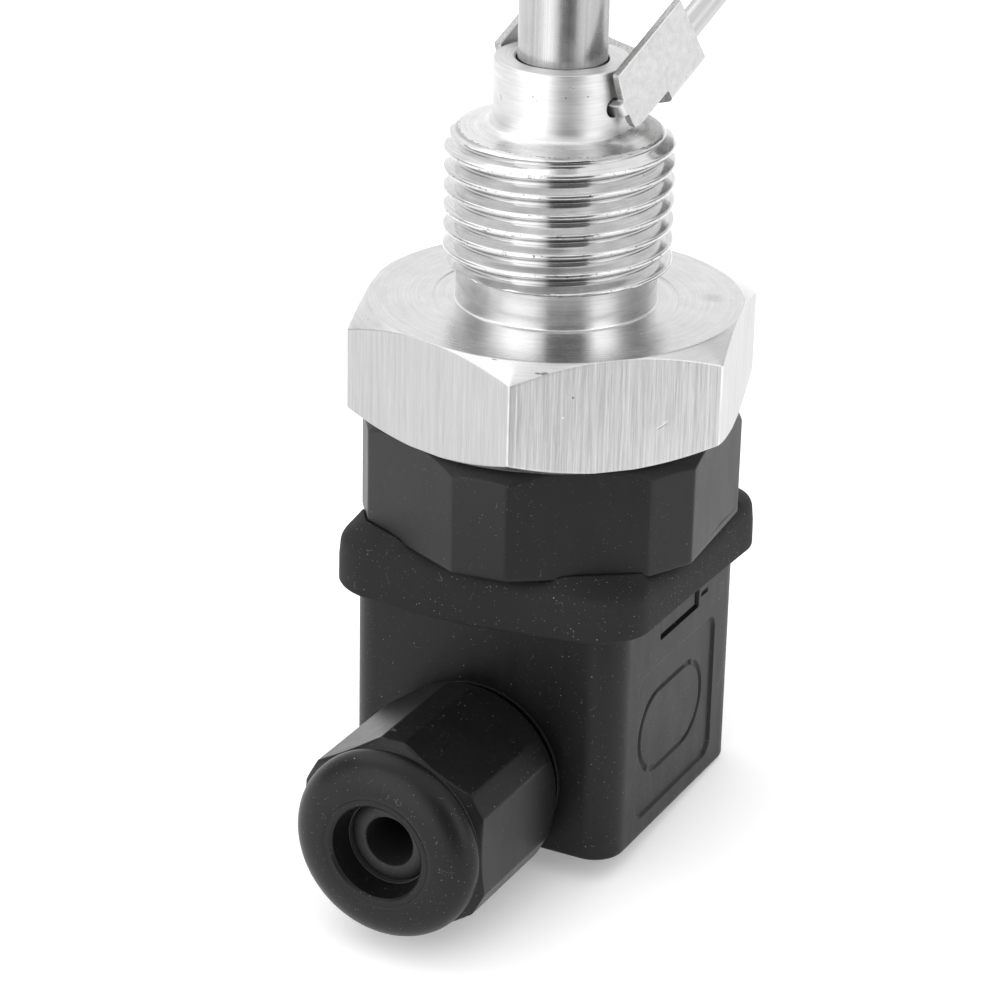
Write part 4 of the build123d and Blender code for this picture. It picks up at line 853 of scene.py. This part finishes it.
boss = lathe(
    "float_boss_turned",
    [(ROD_R + 0.02, 28.5), (3.2, 28.5, 0.35), (3.2, 29.4), (3.2, 29.5, 0.03), (3.08, 29.6, 0.03), (3.08, 29.75, 0.03), (3.2, 29.85, 0.03), (3.2, FLOAT_NEAR, 0.05),
     (2.0, FLOAT_NEAR), (2.0, 37.4), (ROD_R + 0.02, 37.4), (ROD_R + 0.02, 31.35)],
    rod_frame, 96, close=True,
)
dress(boss, "float")
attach(boss, "float_arm")
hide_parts("float_boss")

arc = np.linspace(0, math.pi / 2, 13)
near = [(FLOAT_R - FLOAT_CORNER + FLOAT_CORNER * math.sin(t), FLOAT_NEAR + FLOAT_CORNER - FLOAT_CORNER * math.cos(t)) for t in arc]
far = [(FLOAT_R - FLOAT_CORNER + FLOAT_CORNER * math.cos(t), FLOAT_FAR - FLOAT_CORNER + FLOAT_CORNER * math.sin(t)) for t in arc]
wall = [(FLOAT_R, s) for s in (40.0, 44.0, 47.6, 48.1, 48.3)]
seam_s = np.linspace(48.4, 49.6, 13)
outer = [(3.25, FLOAT_NEAR), (3.9, FLOAT_NEAR), (6.6, FLOAT_NEAR)] + near + wall + [(FLOAT_R, s) for s in seam_s] + [(FLOAT_R, s) for s in (49.7, 49.9, 50.4, 54.0, 58.0)] + far + [(6.4, FLOAT_FAR), (3.0, FLOAT_FAR), (0.6, FLOAT_FAR)]
prof = np.array(outer)
n = 192
th = np.radians(np.arange(n) * 360.0 / n)
g = revolve(prof, n=n)
# the girth weld: a low rippled bead sunk into a shallow dip, so that it stays inside the float's own radius
s = prof[:, 1][:, None]
ripple = 0.5 + 0.5 * np.sin(th[None, :] * 78 + 9 * (s - FLOAT_SEAM) + 0.6 * noise1(th * 5, 21)[None, :])
bead = np.exp(-(((s - FLOAT_SEAM) / 0.42) ** 4))
dip = np.exp(-(((np.abs(s - FLOAT_SEAM) - 0.62) / 0.16) ** 2))
mask = (np.abs(prof[:, 0] - FLOAT_R) < 1e-6)[:, None]
dr = (-0.10 * bead * (1 - ripple) - 0.06 * dip) * mask
scale = (prof[:, 0][:, None] + dr) / np.maximum(prof[:, 0][:, None], 1e-6)
g[..., 0] *= scale
g[..., 1] *= scale
b = Build()
b.grid(g)
b.fan(g[-1], (0, 0, FLOAT_FAR))
inner = [(FLOAT_R - FLOAT_CORNER + (FLOAT_CORNER - 0.4) * math.sin(t), FLOAT_NEAR + FLOAT_CORNER - (FLOAT_CORNER - 0.4) * math.cos(t)) for t in arc]
inner += [(FLOAT_R - FLOAT_CORNER + (FLOAT_CORNER - 0.4) * math.cos(t), FLOAT_FAR - FLOAT_CORNER + (FLOAT_CORNER - 0.4) * math.sin(t)) for t in arc]
inner = np.array([(3.25, FLOAT_NEAR), (3.25, FLOAT_NEAR + 0.4)] + inner + [(0.6, FLOAT_FAR - 0.4)])
gi = revolve(inner, n=n)
b.grid(gi)
b.fan(gi[-1], (0, 0, FLOAT_FAR - 0.4))
shell = b.make("float_shell", 30.0, matrix=rod_frame)
shell.data.materials.clear()
shell.data.materials.append(M["float"])
shell.data.materials.append(M["weld"])
back = rod_frame.inverted()
for p in shell.data.polygons:
    c = back @ p.center
    if abs(c.z / MM - FLOAT_SEAM) < 0.5 and math.hypot(c.x, c.y) / MM > 11.75:
        p.material_index = 1
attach(shell, "float_arm")
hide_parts("float_shell_near", "float_shell_far")

# weld ring between boss and float
b = Build()
s = np.linspace(0, 2 * np.pi, 97)[:-1]
t = np.linspace(0, 2 * np.pi, 13)[:-1]
rad = 0.30 + 0.05 * np.sin(s * 26) + 0.02 * noise1(s * 9, 31)
R = 3.28 + rad[None, :] * np.cos(t)[:, None]
g = np.stack([R * np.cos(s), R * np.sin(s), FLOAT_NEAR - 0.02 + 0.55 * rad[None, :] * np.sin(t)[:, None] + 0 * s], -1)
b.grid(g, close=True)
ring = b.make("boss_weld_ring", matrix=rod_frame)
dress(ring, "weld")
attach(ring, "float_arm")

# ------------------------------------------------------------------ twelve-sided base
SIDES = [(-55.0 + 60 * k, BASE_FACET) for k in range(6)] + [(-85.0 + 60 * k, BASE_CORNER) for k in range(6)]
special = []
for k in range(6):
    for p, q in (((-55 + 60 * k, BASE_FACET), (-85 + 60 * k, BASE_CORNER)), ((-55 + 60 * k, BASE_FACET), (-25 + 60 * k, BASE_CORNER))):
        a1, a2 = math.radians(p[0]), math.radians(q[0])
        x = (p[1] * math.sin(a2) - q[1] * math.sin(a1)) / math.sin(a2 - a1)
        y = (q[1] * math.cos(a1) - p[1] * math.cos(a2)) / math.sin(a2 - a1)
        special.append(math.degrees(math.atan2(y, x)))
base_th = columns(180, special, (-3.2, -2.4, -1.7, -1.1, -0.6, -0.25, 0, 0.25, 0.6, 1.1, 1.7, 2.4, 3.2))
base_r = many_sided(base_th, SIDES, 0.045)


def base_piece():
    th, rb = base_th, base_r
    a, k = np.radians(th), np.ones_like(rb)

    def point(r, z):
        return np.stack([r * k, z * k], -1)

    ch = np.maximum(rb - BASE_FLAT_R, 0.03)
    rt = np.minimum(BASE_FLAT_R, rb - 0.03)
    rows = [point(9.0, BASE_BOTTOM), point(rb - 0.6, BASE_BOTTOM)]
    rows += corner(point(rb - 0.6, BASE_BOTTOM), point(rb, BASE_BOTTOM), point(rb, BASE_BOTTOM + 1), 0.15, 3)
    # faint parting step low on the sides
    rows += [point(rb, -20.42), point(rb, -20.33), point(rb - 0.05, -20.27), point(rb - 0.05, -20.17), point(rb, -20.11), point(rb, -20.0)]
    c = corner(point(rb, -15), point(rb, -HEX_H - ch), point(rt, -HEX_H), 0.16, 4)
    rows += [c[0] - [0, 0.15]] + c
    c = corner(point(rb, -HEX_H - ch), point(rt, -HEX_H), point(13.0, -HEX_H), 0.1, 2)
    rows += c + [c[-1] - [0.1, 0], point(13.05, -HEX_H), point(13.0, -HEX_H + 0.1), point(13.0, -4.2), point(11.0, -4.2), point(11.0, -17.5), point(9.0, -17.5)]
    g = np.array(rows)
    # the step shows only on one facet and fades round its neighbours
    fade = np.clip(1 - np.abs((th - 12 + 180) % 360 - 180) / 14, 0, 1)
    groove = (np.abs(g[..., 1] + 20.22) < 0.06) & (g[..., 0] > 15)
    g[..., 0] = np.where(groove, rb - 0.06 * fade, g[..., 0])
    b = Build()
    b.grid(np.stack([g[..., 0] * np.cos(a), g[..., 0] * np.sin(a), g[..., 1]], -1), close=True)
    return b.make("plug_base", 35.0)


base = base_piece()
dress(base, "base")
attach(base, "switch_body")
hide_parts("connector_base")


# ------------------------------------------------------------------ square gasket
def square_radius(th, half, c):
    """Radius of a rounded square."""
    a = np.radians(th)
    x, y = np.abs(np.cos(a)), np.abs(np.sin(a))
    m = np.maximum(x, y)
    r = half / m
    px, py = r * x, r * y
    inside = (px > half - c) & (py > half - c)
    k = half - c
    bb = k * (x + y)
    disc = np.maximum(bb * bb - (2 * k * k - c * c), 0)
    return np.where(inside, bb + np.sqrt(disc), r)


def gasket_piece():
    th = columns(288, [45, 135, 225, 315], (-16, -14, -12, 0, 12, 14, 16))
    a, k = np.radians(th), np.ones_like(th)
    rb = many_sided(th, SIDES, 0.045) + 0.05
    off = np.abs((th - 45 + 45) % 90 - 45)                 # 0 at a corner, 45 at mid side
    mid = 0.5 - 0.5 * np.cos(np.radians(np.clip(off / 40, 0, 1) * 180))
    edge_deg = [-180, -157, -135, -112, -90, -67, -45, -22, 0, 22, 45, 67, 90, 112, 135, 157, 180]
    edge_z = [-27.0, -26.8, -26.5, -26.95, -26.9, -26.45, -25.7, -25.85, -25.95, -26.15, -26.4, -26.7, -27.0, -26.8, -26.4, -26.8, -27.0]
    low = np.interp((th + 180) % 360 - 180, edge_deg, edge_z) + 0.04 * noise1(a * 4, 41)
    lift = 0.45 * (1 - np.clip((off - 9) / 16, 0, 1) ** 1.5)
    shoulder = -22.25 + 0.35 * (1 - np.clip(off / 22, 0, 1)) + 0.06 * noise1(a * 3, 43)

    def sq(half, c):
        return square_radius(th, half, c)

    def point(r, z):
        return np.stack([r * k, z * k], -1)

    puff = 0.06 * noise1(a * 5, 44)
    outer_low, outer_mid, outer_top = sq(15.6, 4.6) + 0 * puff, sq(15.55, 4.5) + 0.5 * puff, sq(15.4, 4.3) + 0.4 * puff
    top_z = -21.05 + lift * 1.15
    clear = rb
    top_r = sq(15.4, 4.3) - 1.25
    top_r = np.where(top_r > clear + 0.1, clear + 0.1 + 0.12 * (top_r - clear - 0.1), top_r)
    # where the base overhangs, the slope ends under it
    meet = np.minimum(top_r, 99)
    rows = [point(sq(13.8, 3.0), low + 1.2), point(sq(13.8, 3.0), low + 0.15), point(sq(14.0, 3.1), low)]
    rows += corner(point(sq(14.2, 3.2), low), point(outer_low, low), point(outer_low, low + 1.5), 0.38, 5)
    rows += [point(outer_low * 0.5 + outer_mid * 0.5, (low + shoulder) / 2 - 0.6), point(outer_mid, (low + shoulder) / 2 + 0.4)]
    rows += corner(point(outer_mid, low + 1.5), point(outer_top, shoulder), point(meet, top_z), 0.75, 7)
    ridge = corner(point(outer_top, shoulder), point(meet, top_z), point(meet - 0.8, top_z), 0.12, 4)
    rows += ridge
    g = np.array(rows)
    inner_r = np.minimum(clear, g[-1][..., 0] - 0.04)
    rows += [point(inner_r + 0.03, np.where(inner_r > clear - 0.01, top_z - 0.05, BASE_BOTTOM - 0.03)), point(inner_r, BASE_BOTTOM - 0.03), point(9.0, BASE_BOTTOM - 0.03)]
    g = np.array(rows)
    # nothing of the gasket reaches into the base
    under = (g[..., 0] < clear + 0.0) & (g[..., 1] > BASE_BOTTOM - 0.03)
    g[..., 1] = np.where(under, BASE_BOTTOM - 0.03, g[..., 1])
    g = np.concatenate([g, [point(9.0, -22.9), point(sq(13.8, 3.0), -22.9)]])
    b = Build()
    b.grid(np.stack([g[..., 0] * np.cos(a), g[..., 0] * np.sin(a), g[..., 1]], -1), close=True)
    return b.make("square_gasket", 50.0)


gasket = gasket_piece()
dress(gasket, "gasket")
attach(gasket, "switch_body")
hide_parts("profile_gasket")


# ------------------------------------------------------------------ plug housing
def box_distance(u, v, hu, hv, r):
    """Signed distance to a rounded rectangle."""
    qx, qy = np.abs(u) - (hu - r), np.abs(v) - (hv - r)
    return np.hypot(np.maximum(qx, 0), np.maximum(qy, 0)) + np.minimum(np.maximum(qx, qy), 0) - r


def ease(d, w):
    """1 where d is well below 0, 0 well above it, smooth over w."""
    t = np.clip(0.5 - d / w, 0, 1)
    return t * t * (3 - 2 * t)


def panel_depth(y, z):
    """How far the panel side is sunk below its own face."""
    d = box_distance(y + 0.1, z + 39.4, 8.3, 7.3, 1.5)
    out = 0.24 * ease(d, 0.24)
    o = box_distance(y + 0.85, z + 38.95, 6.95, 4.25, 4.24)
    ring = np.abs(o + 0.225) - 0.225
    gap = np.minimum(np.hypot((y - 3.8) / 1.0, (z + 34.7) / 3.0), np.hypot((y + 5.5) / 1.0, (z + 43.2) / 3.0)) - 0.42
    out = out + 0.20 * ease(ring, 0.20) * (1 - ease(gap, 0.3))
    s = box_distance(y + 0.05, z + 27.6, 4.15, 2.1, 0.25)
    line = np.abs(s + 0.14) - 0.12
    out = np.maximum(out, 0.22 * ease(s, 0.16) + 0.5 * ease(line, 0.14))
    q = box_distance(y - 5.4, z + 28.7, 0.7, 0.18, 0.12)
    return np.maximum(out, 0.3 * ease(q, 0.16))


def housing_piece():
    k = BOX - BOX_R
    ys = np.concatenate([np.linspace(-k, -8.9, 8)[:-1], np.arange(-8.9, 8.71, 0.10), np.linspace(8.75, k, 8)[1:]])
    per = [(BOX, y, 1.0, 0.0, True) for y in ys]

    def arc_part(cx, cy, a0):
        return [(cx + BOX_R * math.cos(t), cy + BOX_R * math.sin(t), math.cos(t), math.sin(t), False) for t in np.radians(np.linspace(a0, a0 + 90, 11))[1:-1]]

    per += arc_part(k, k, 0)
    per += [(x, BOX, 0.0, 1.0, False) for x in np.linspace(k, -k, 13)]
    per += arc_part(-k, k, 90)
    per += [(-BOX, y, -1.0, 0.0, False) for y in np.linspace(k, -k, 13)]
    per += arc_part(-k, -k, 180)
    per += [(x, -BOX, 0.0, -1.0, False) for x in np.linspace(-k, k, 13)]
    per += arc_part(k, -k, 270)
    per = np.array([p[:4] for p in per]), np.array([p[4] for p in per])
    xy, nrm, panel = per[0][:, :2], per[0][:, 2:], per[1]
    zs = np.concatenate([np.arange(-47.95, -46.9, 0.25), np.arange(-46.95, -31.7, 0.10), np.linspace(-31.7, -29.95, 5), np.arange(-29.85, -25.2, 0.10), np.linspace(-25.2, BOX_TOP, 6)])
    zs = np.unique(np.round(zs, 4))
    bt = np.radians(np.linspace(0, 90, 7))
    fillet = 0.42
    rows = []
    # bottom face: from the screw recess out to the rounded lower edge
    ang = np.arctan2(xy[:, 1], xy[:, 0])
    circle = np.stack([np.cos(ang), np.sin(ang)], -1)
    for r, z in ((1.75, -43.6), (1.75, -45.3), (4.0, -45.3), (4.0, -48.55), (4.06, -48.72), (4.22, -48.8), (4.5, -48.8)):
        rows.append(np.column_stack([circle * r, np.full(len(xy), z)]))
    rows.append(np.column_stack([xy - nrm * (fillet + 0.3), np.full(len(xy), BOX_BOTTOM)]))
    for t in bt:
        rows.append(np.column_stack([xy - nrm * fillet * (1 - math.sin(t)), np.full(len(xy), BOX_BOTTOM + fillet * (1 - math.cos(t)))]))
    for z in zs:
        p = xy.copy()
        sink = panel_depth(xy[:, 1], np.full(len(xy), z)) * panel
        p[:, 0] -= sink
        rows.append(np.column_stack([p, np.full(len(xy), z)]))
    inner = xy - nrm * 1.8
    rows.append(np.column_stack([inner, np.full(len(xy), BOX_TOP)]))
    rows.append(np.column_stack([inner, np.full(len(xy), -46.8)]))
    for r, z in ((5.6, -46.8), (5.6, -43.6)):
        rows.append(np.column_stack([circle * r, np.full(len(xy), z)]))
    b = Build()
    b.grid(np.array(rows), close=True)
    obj = b.make("housing", 40.0)
    cut(obj, pin("cutter", 4.4, 10.5, 15.0, place((0, 0, GLAND_Z), (1, 0, 0), (0, 0, 1), (0, -1, 0))))
    finish_mesh(obj, 40.0)
    return obj


gland_frame = place((0, 0, GLAND_Z), (1, 0, 0), (0, 0, 1), (0, -1, 0))
housing = housing_piece()
dress(housing, "housing")
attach(housing, "switch_body")
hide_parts("plug_housing")

collar = lathe("gland_collar", [(4.4, 12.9), (8.52, 12.9), (8.52, 14.06, 0.07), (8.30, 14.06, 0.07), (8.22, 13.8), (7.6, 13.8), (7.6, 26.0, 0.4), (6.62, 26.0, 0.1), (6.62, 20.0), (4.4, 20.0)], gland_frame, 96, close=True)
dress(collar, "housing")
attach(collar, "switch_body")


# ------------------------------------------------------------------ cable gland
def nut_piece():
    turn = 1.7
    sides = [(60 + turn + 60 * k, 8.94) for k in range(6)] + [(90 + turn + 60 * k, 9.61) for k in range(6)]
    special = []
    for k in range(6):
        for q in (30, -30):
            a1, a2 = math.radians(60 + turn + 60 * k), math.radians(60 + turn + 60 * k + q)
            x = (8.94 * math.sin(a2) - 9.61 * math.sin(a1)) / math.sin(a2 - a1)
            y = (9.61 * math.cos(a1) - 8.94 * math.cos(a2)) / math.sin(a2 - a1)
            special.append(math.degrees(math.atan2(y, x)))
    th = columns(168, special, (-3.6, -2.4, -1.5, -0.8, -0.3, 0, 0.3, 0.8, 1.5, 2.4, 3.6))
    poly = many_sided(th, sides, 0.035)
    env = np.array([
        (14.1, 7.85), (14.12, 7.97), (14.2, 8.08), (14.32, 8.17), (14.5, 8.30), (14.7, 8.45), (14.95, 8.68), (15.25, 8.93), (15.6, 9.15), (16.0, 9.36), (16.4, 9.52),
        (16.9, 9.67), (17.5, 9.8), (18.2, 9.9), (19.5, 9.95), (22.0, 9.95), (25.5, 9.95), (28.4, 9.95), (28.98, 9.94), (29.15, 9.89), (29.28, 9.80), (29.4, 9.65),
        (29.52, 9.45), (29.63, 9.26), (29.73, 9.1), (29.81, 8.97), (29.87, 8.88), (29.93, 8.82), (30.02, 8.80), (30.12, 8.85), (30.22, 8.92), (30.38, 8.96), (30.6, 8.97), (30.9, 8.93),
        (31.2, 8.84), (31.5, 8.69), (31.8, 8.47), (32.05, 8.22), (32.27, 7.92), (32.46, 7.57), (32.62, 7.17), (32.75, 6.7), (32.83, 6.2), (32.87, 5.7), (32.88, 5.30), (32.85, 5.25),
        (32.85, 5.19), (32.9, 5.14), (32.9, 4.72), (32.89, 4.68), (32.86, 4.64), (32.70, 4.46), (32.66, 4.43), (32.58, 4.41), (32.4, 4.38), (31.8, 4.25), (30.9, 4.06), (30.5, 4.0), (30.5, 7.35), (27.6, 7.35), (27.0, 7.72), (14.2, 7.72), (14.12, 7.78),
    ])
    outer = len(env) - 12
    rows = []
    for i, (s, r) in enumerate(env):
        rr = softmin(poly, np.full_like(poly, r), 0.03) if r > 8.6 and s < 29.9 and i < outer else np.full_like(poly, r)
        if i < outer and 0 < r <= 8.6:
            rr = np.minimum(rr, poly)
        rows.append(np.stack([rr * np.cos(np.radians(th)), rr * np.sin(np.radians(th)), np.full_like(rr, s)], -1))
    b = Build()
    b.grid(np.array(rows), close=True)
    return b.make("gland_cap", 38.0, matrix=gland_frame)


nut = nut_piece()
dress(nut, "nut")
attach(nut, "switch_body")
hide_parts("gland_nut")

bush = lathe(
    "gland_bush",
    [(2.35, 20.05), (6.55, 20.05, 0.2), (6.55, 28.9, 0.3), (5.95, 29.5, 0.2), (4.7, 29.5, 0.1), (4.6, 28.9, 0.1), (3.95, 28.9, 0.05), (3.95, 29.9, 0.45), (3.2, 30.36, 0.4), (2.35, 30.40, 0.22), (2.35, 25.0)],
    gland_frame, 112, close=True,
)
dress(bush, "bush")
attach(bush, "switch_body")
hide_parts("gland_seal")

# ------------------------------------------------------------------ CAD nodes that stay
KEEP = {
    "reed_glass": "glass", "reed_blades": "contact", "reed_sleeve": "sleeve", "lead_wires": "wire", "potting_plug": "resin",
    "base_o_ring": "seal", "contact_pins": "contact", "earth_pin": "contact", "threaded_insert": "brass",
    "contact_insert": "insert", "female_contacts": "brass", "earth_contact": "brass", "terminal_screws": "screw",
    "fixing_screw": "screw", "screw_seal": "seal", "gland_washer": "insert", "float_magnet": "magnet", "magnet_retainer": "screw",
}
for name, key in KEEP.items():
    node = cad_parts[name]
    if not node.data.materials:
        node.data.materials.append(M[key])
    for k in range(len(node.data.materials)):
        node.data.materials[k] = M[key]

# ------------------------------------------------------------------ floor
tilt = -0.0878
origin = np.array([0.0, 13.05, BOX_BOTTOM]) * MM
up = unit((0, tilt, 1))
side_x = np.array([1.0, 0, 0])
side_y = np.cross(up, side_x)
rings = np.concatenate([[0.02], np.linspace(0.05, 0.4, 8), [0.6, 1.0, 1.8, 3.0]])
b = Build()
a = np.radians(np.arange(0, 360, 5))
# the paper ends close in front of the object, outside the picture, where the room beyond it is dark
bearing_deg = (np.degrees(a) + 63.03 + 180) % 360 - 180
reach = np.where((bearing_deg > -50) & (bearing_deg < 29), 0.138, 3.0)
g = np.array([origin / MM + (np.minimum(r, reach) / MM)[:, None] * (np.cos(a)[:, None] * side_x + np.sin(a)[:, None] * side_y) for r in rings])
b.grid(g)
b.fan(g[0], origin / MM)
floor = b.make("floor")
fm = Mat("floor_white")
paper = fm.noise(fm.mm(), 0.02, 3.0, 0.5)
fm.done(color=fm.ramp(paper, (0.3, 0.90), (0.7, 0.93)), rough=0.9, spec=0.1)
fm.bsdf.inputs["Emission Color"].default_value = (1, 1, 1, 1)
fm.bsdf.inputs["Emission Strength"].default_value = 0.26
floor.data.materials.append(fm.mat)

# ------------------------------------------------------------------ camera, at the photograph's place
e, roll, turn_z = math.radians(23.508), math.radians(1.283), math.radians(26.970)
target = np.array([-4.607, 0.0, -20.463])
fwd = np.array([0, math.cos(e), -math.sin(e)])
up0 = np.array([0, math.sin(e), math.cos(e)])
right0 = np.array([1.0, 0, 0])
right = math.cos(roll) * right0 + math.sin(roll) * up0
upv = -math.sin(roll) * right0 + math.cos(roll) * up0
pos = target - 318.064 * fwd
turn = np.array([[math.cos(turn_z), -math.sin(turn_z), 0], [math.sin(turn_z), math.cos(turn_z), 0], [0, 0, 1]])
pos, right, upv, fwd = turn @ pos, turn @ right, turn @ upv, turn @ fwd
cam_data = bpy.data.cameras.new("camera")
cam_data.sensor_fit, cam_data.sensor_width = "HORIZONTAL", 36.0
cam_data.lens = 3416.05 * 36.0 / 1001
cam_data.clip_start, cam_data.clip_end = 0.01, 20
cam = bpy.data.objects.new("camera", cam_data)
scene.collection.objects.link(cam)
cam.matrix_world = place(pos, right, upv, -fwd)
scene.camera = cam
to_cam = unit([pos[0], pos[1], 0])
to_left = np.array([to_cam[1], -to_cam[0], 0])           # left as seen from the camera


# ------------------------------------------------------------------ studio light
world = bpy.data.worlds.new("studio")
scene.world = world
world.use_nodes = True
nt = world.node_tree
nt.nodes.clear()


def wnode(kind, **props):
    n = nt.nodes.new(kind)
    for k, v in props.items():
        setattr(n, k, v)
    return n


def wput(s, v):
    if isinstance(v, bpy.types.NodeSocket):
        nt.links.new(v, s)
    else:
        s.default_value = v


def wmath(op, a, b=0.0, clamp=False):
    n = wnode("ShaderNodeMath", operation=op, use_clamp=clamp)
    wput(n.inputs[0], a)
    wput(n.inputs[1], b)
    return n.outputs[0]


def wdot(v, d):
    n = wnode("ShaderNodeVectorMath", operation="DOT_PRODUCT")
    wput(n.inputs[0], v)
    n.inputs[1].default_value = tuple(float(k) for k in d)
    return n.outputs["Value"]


def wspan(x, lo, hi, a, b):
    n = wnode("ShaderNodeMapRange", clamp=True, interpolation_type="SMOOTHSTEP")
    for s, v in zip(n.inputs, (x, lo, hi, a, b)):
        wput(s, v)
    return n.outputs[0]


direction = wnode("ShaderNodeTexCoord").outputs["Generated"]
norm = wnode("ShaderNodeVectorMath", operation="NORMALIZE")
wput(norm.inputs[0], direction)
direction = norm.outputs[0]
height = wdot(direction, (0, 0, 1))
# the room all round the object: bearing in degrees, 0 behind the camera, positive to the right
ROOM = [
    (-180, 1.15), (-140, 1.15), (-118, 0.70), (-100, 0.50), (-86, 0.85), (-68, 1.9), (-50, 2.6), (-26, 2.3), (-14, 1.3), (-8, 0.27),
    (8, 0.19), (31, 0.25), (38, 0.9), (48, 2.3), (64, 2.0), (84, 0.65), (105, 0.34), (125, 0.60), (145, 1.10), (180, 1.15),
]
bearing = wmath("ARCTAN2", wdot(direction, -to_left), wdot(direction, to_cam))
ramp = wnode("ShaderNodeValToRGB")
el = ramp.color_ramp.elements
while len(el) < len(ROOM):
    el.new(0.5)
for stop, (deg, v) in zip(el, ROOM):
    stop.position = (deg + 180) / 360
    stop.color = (v / 3, v / 3, v / 3, 1)
wput(ramp.inputs[0], wmath("ADD", wmath("DIVIDE", bearing, 2 * math.pi), 0.5))
around = wmath("MULTIPLY", ramp.outputs[0], 3.0)
over = wspan(height, 0.48, 0.72, 0, 1)
value = wmath("ADD", wmath("MULTIPLY", around, wmath("SUBTRACT", 1.0, over)), wmath("MULTIPLY", over, 1.2))
bg_light = wnode("ShaderNodeBackground")
wput(bg_light.inputs["Strength"], value)
bg_light.inputs["Color"].default_value = (1, 1, 1, 1)
bg_seen = wnode("ShaderNodeBackground")
bg_seen.inputs["Color"].default_value = (1, 1, 1, 1)
bg_seen.inputs["Strength"].default_value = 1.1
path = wnode("ShaderNodeLightPath")
mix = wnode("ShaderNodeMixShader")
wput(mix.inputs[0], path.outputs["Is Camera Ray"])
wput(mix.inputs[1], bg_light.outputs[0])
wput(mix.inputs[2], bg_seen.outputs[0])
out = wnode("ShaderNodeOutputWorld")
wput(out.inputs["Surface"], mix.outputs[0])


def area(name, place_mm, aim_mm, size, power):
    d = bpy.data.lights.new(name, "AREA")
    d.shape, d.size, d.energy = "SQUARE", size, power
    o = bpy.data.objects.new(name, d)
    scene.collection.objects.link(o)
    o.location = Vector(place_mm) * MM
    o.rotation_euler = (Vector(aim_mm) - Vector(place_mm)).to_track_quat("-Z", "Y").to_euler()
    return o


key = to_left * 380 - to_cam * 120 + np.array([0, 0, 640])
area("key", tuple(key), (0, 0, -20), 0.6, 0.85)

scene.view_settings.view_transform = "Standard"
scene.view_settings.look = "None"
scene.view_settings.exposure = 0.0
scene.view_settings.gamma = 1.0
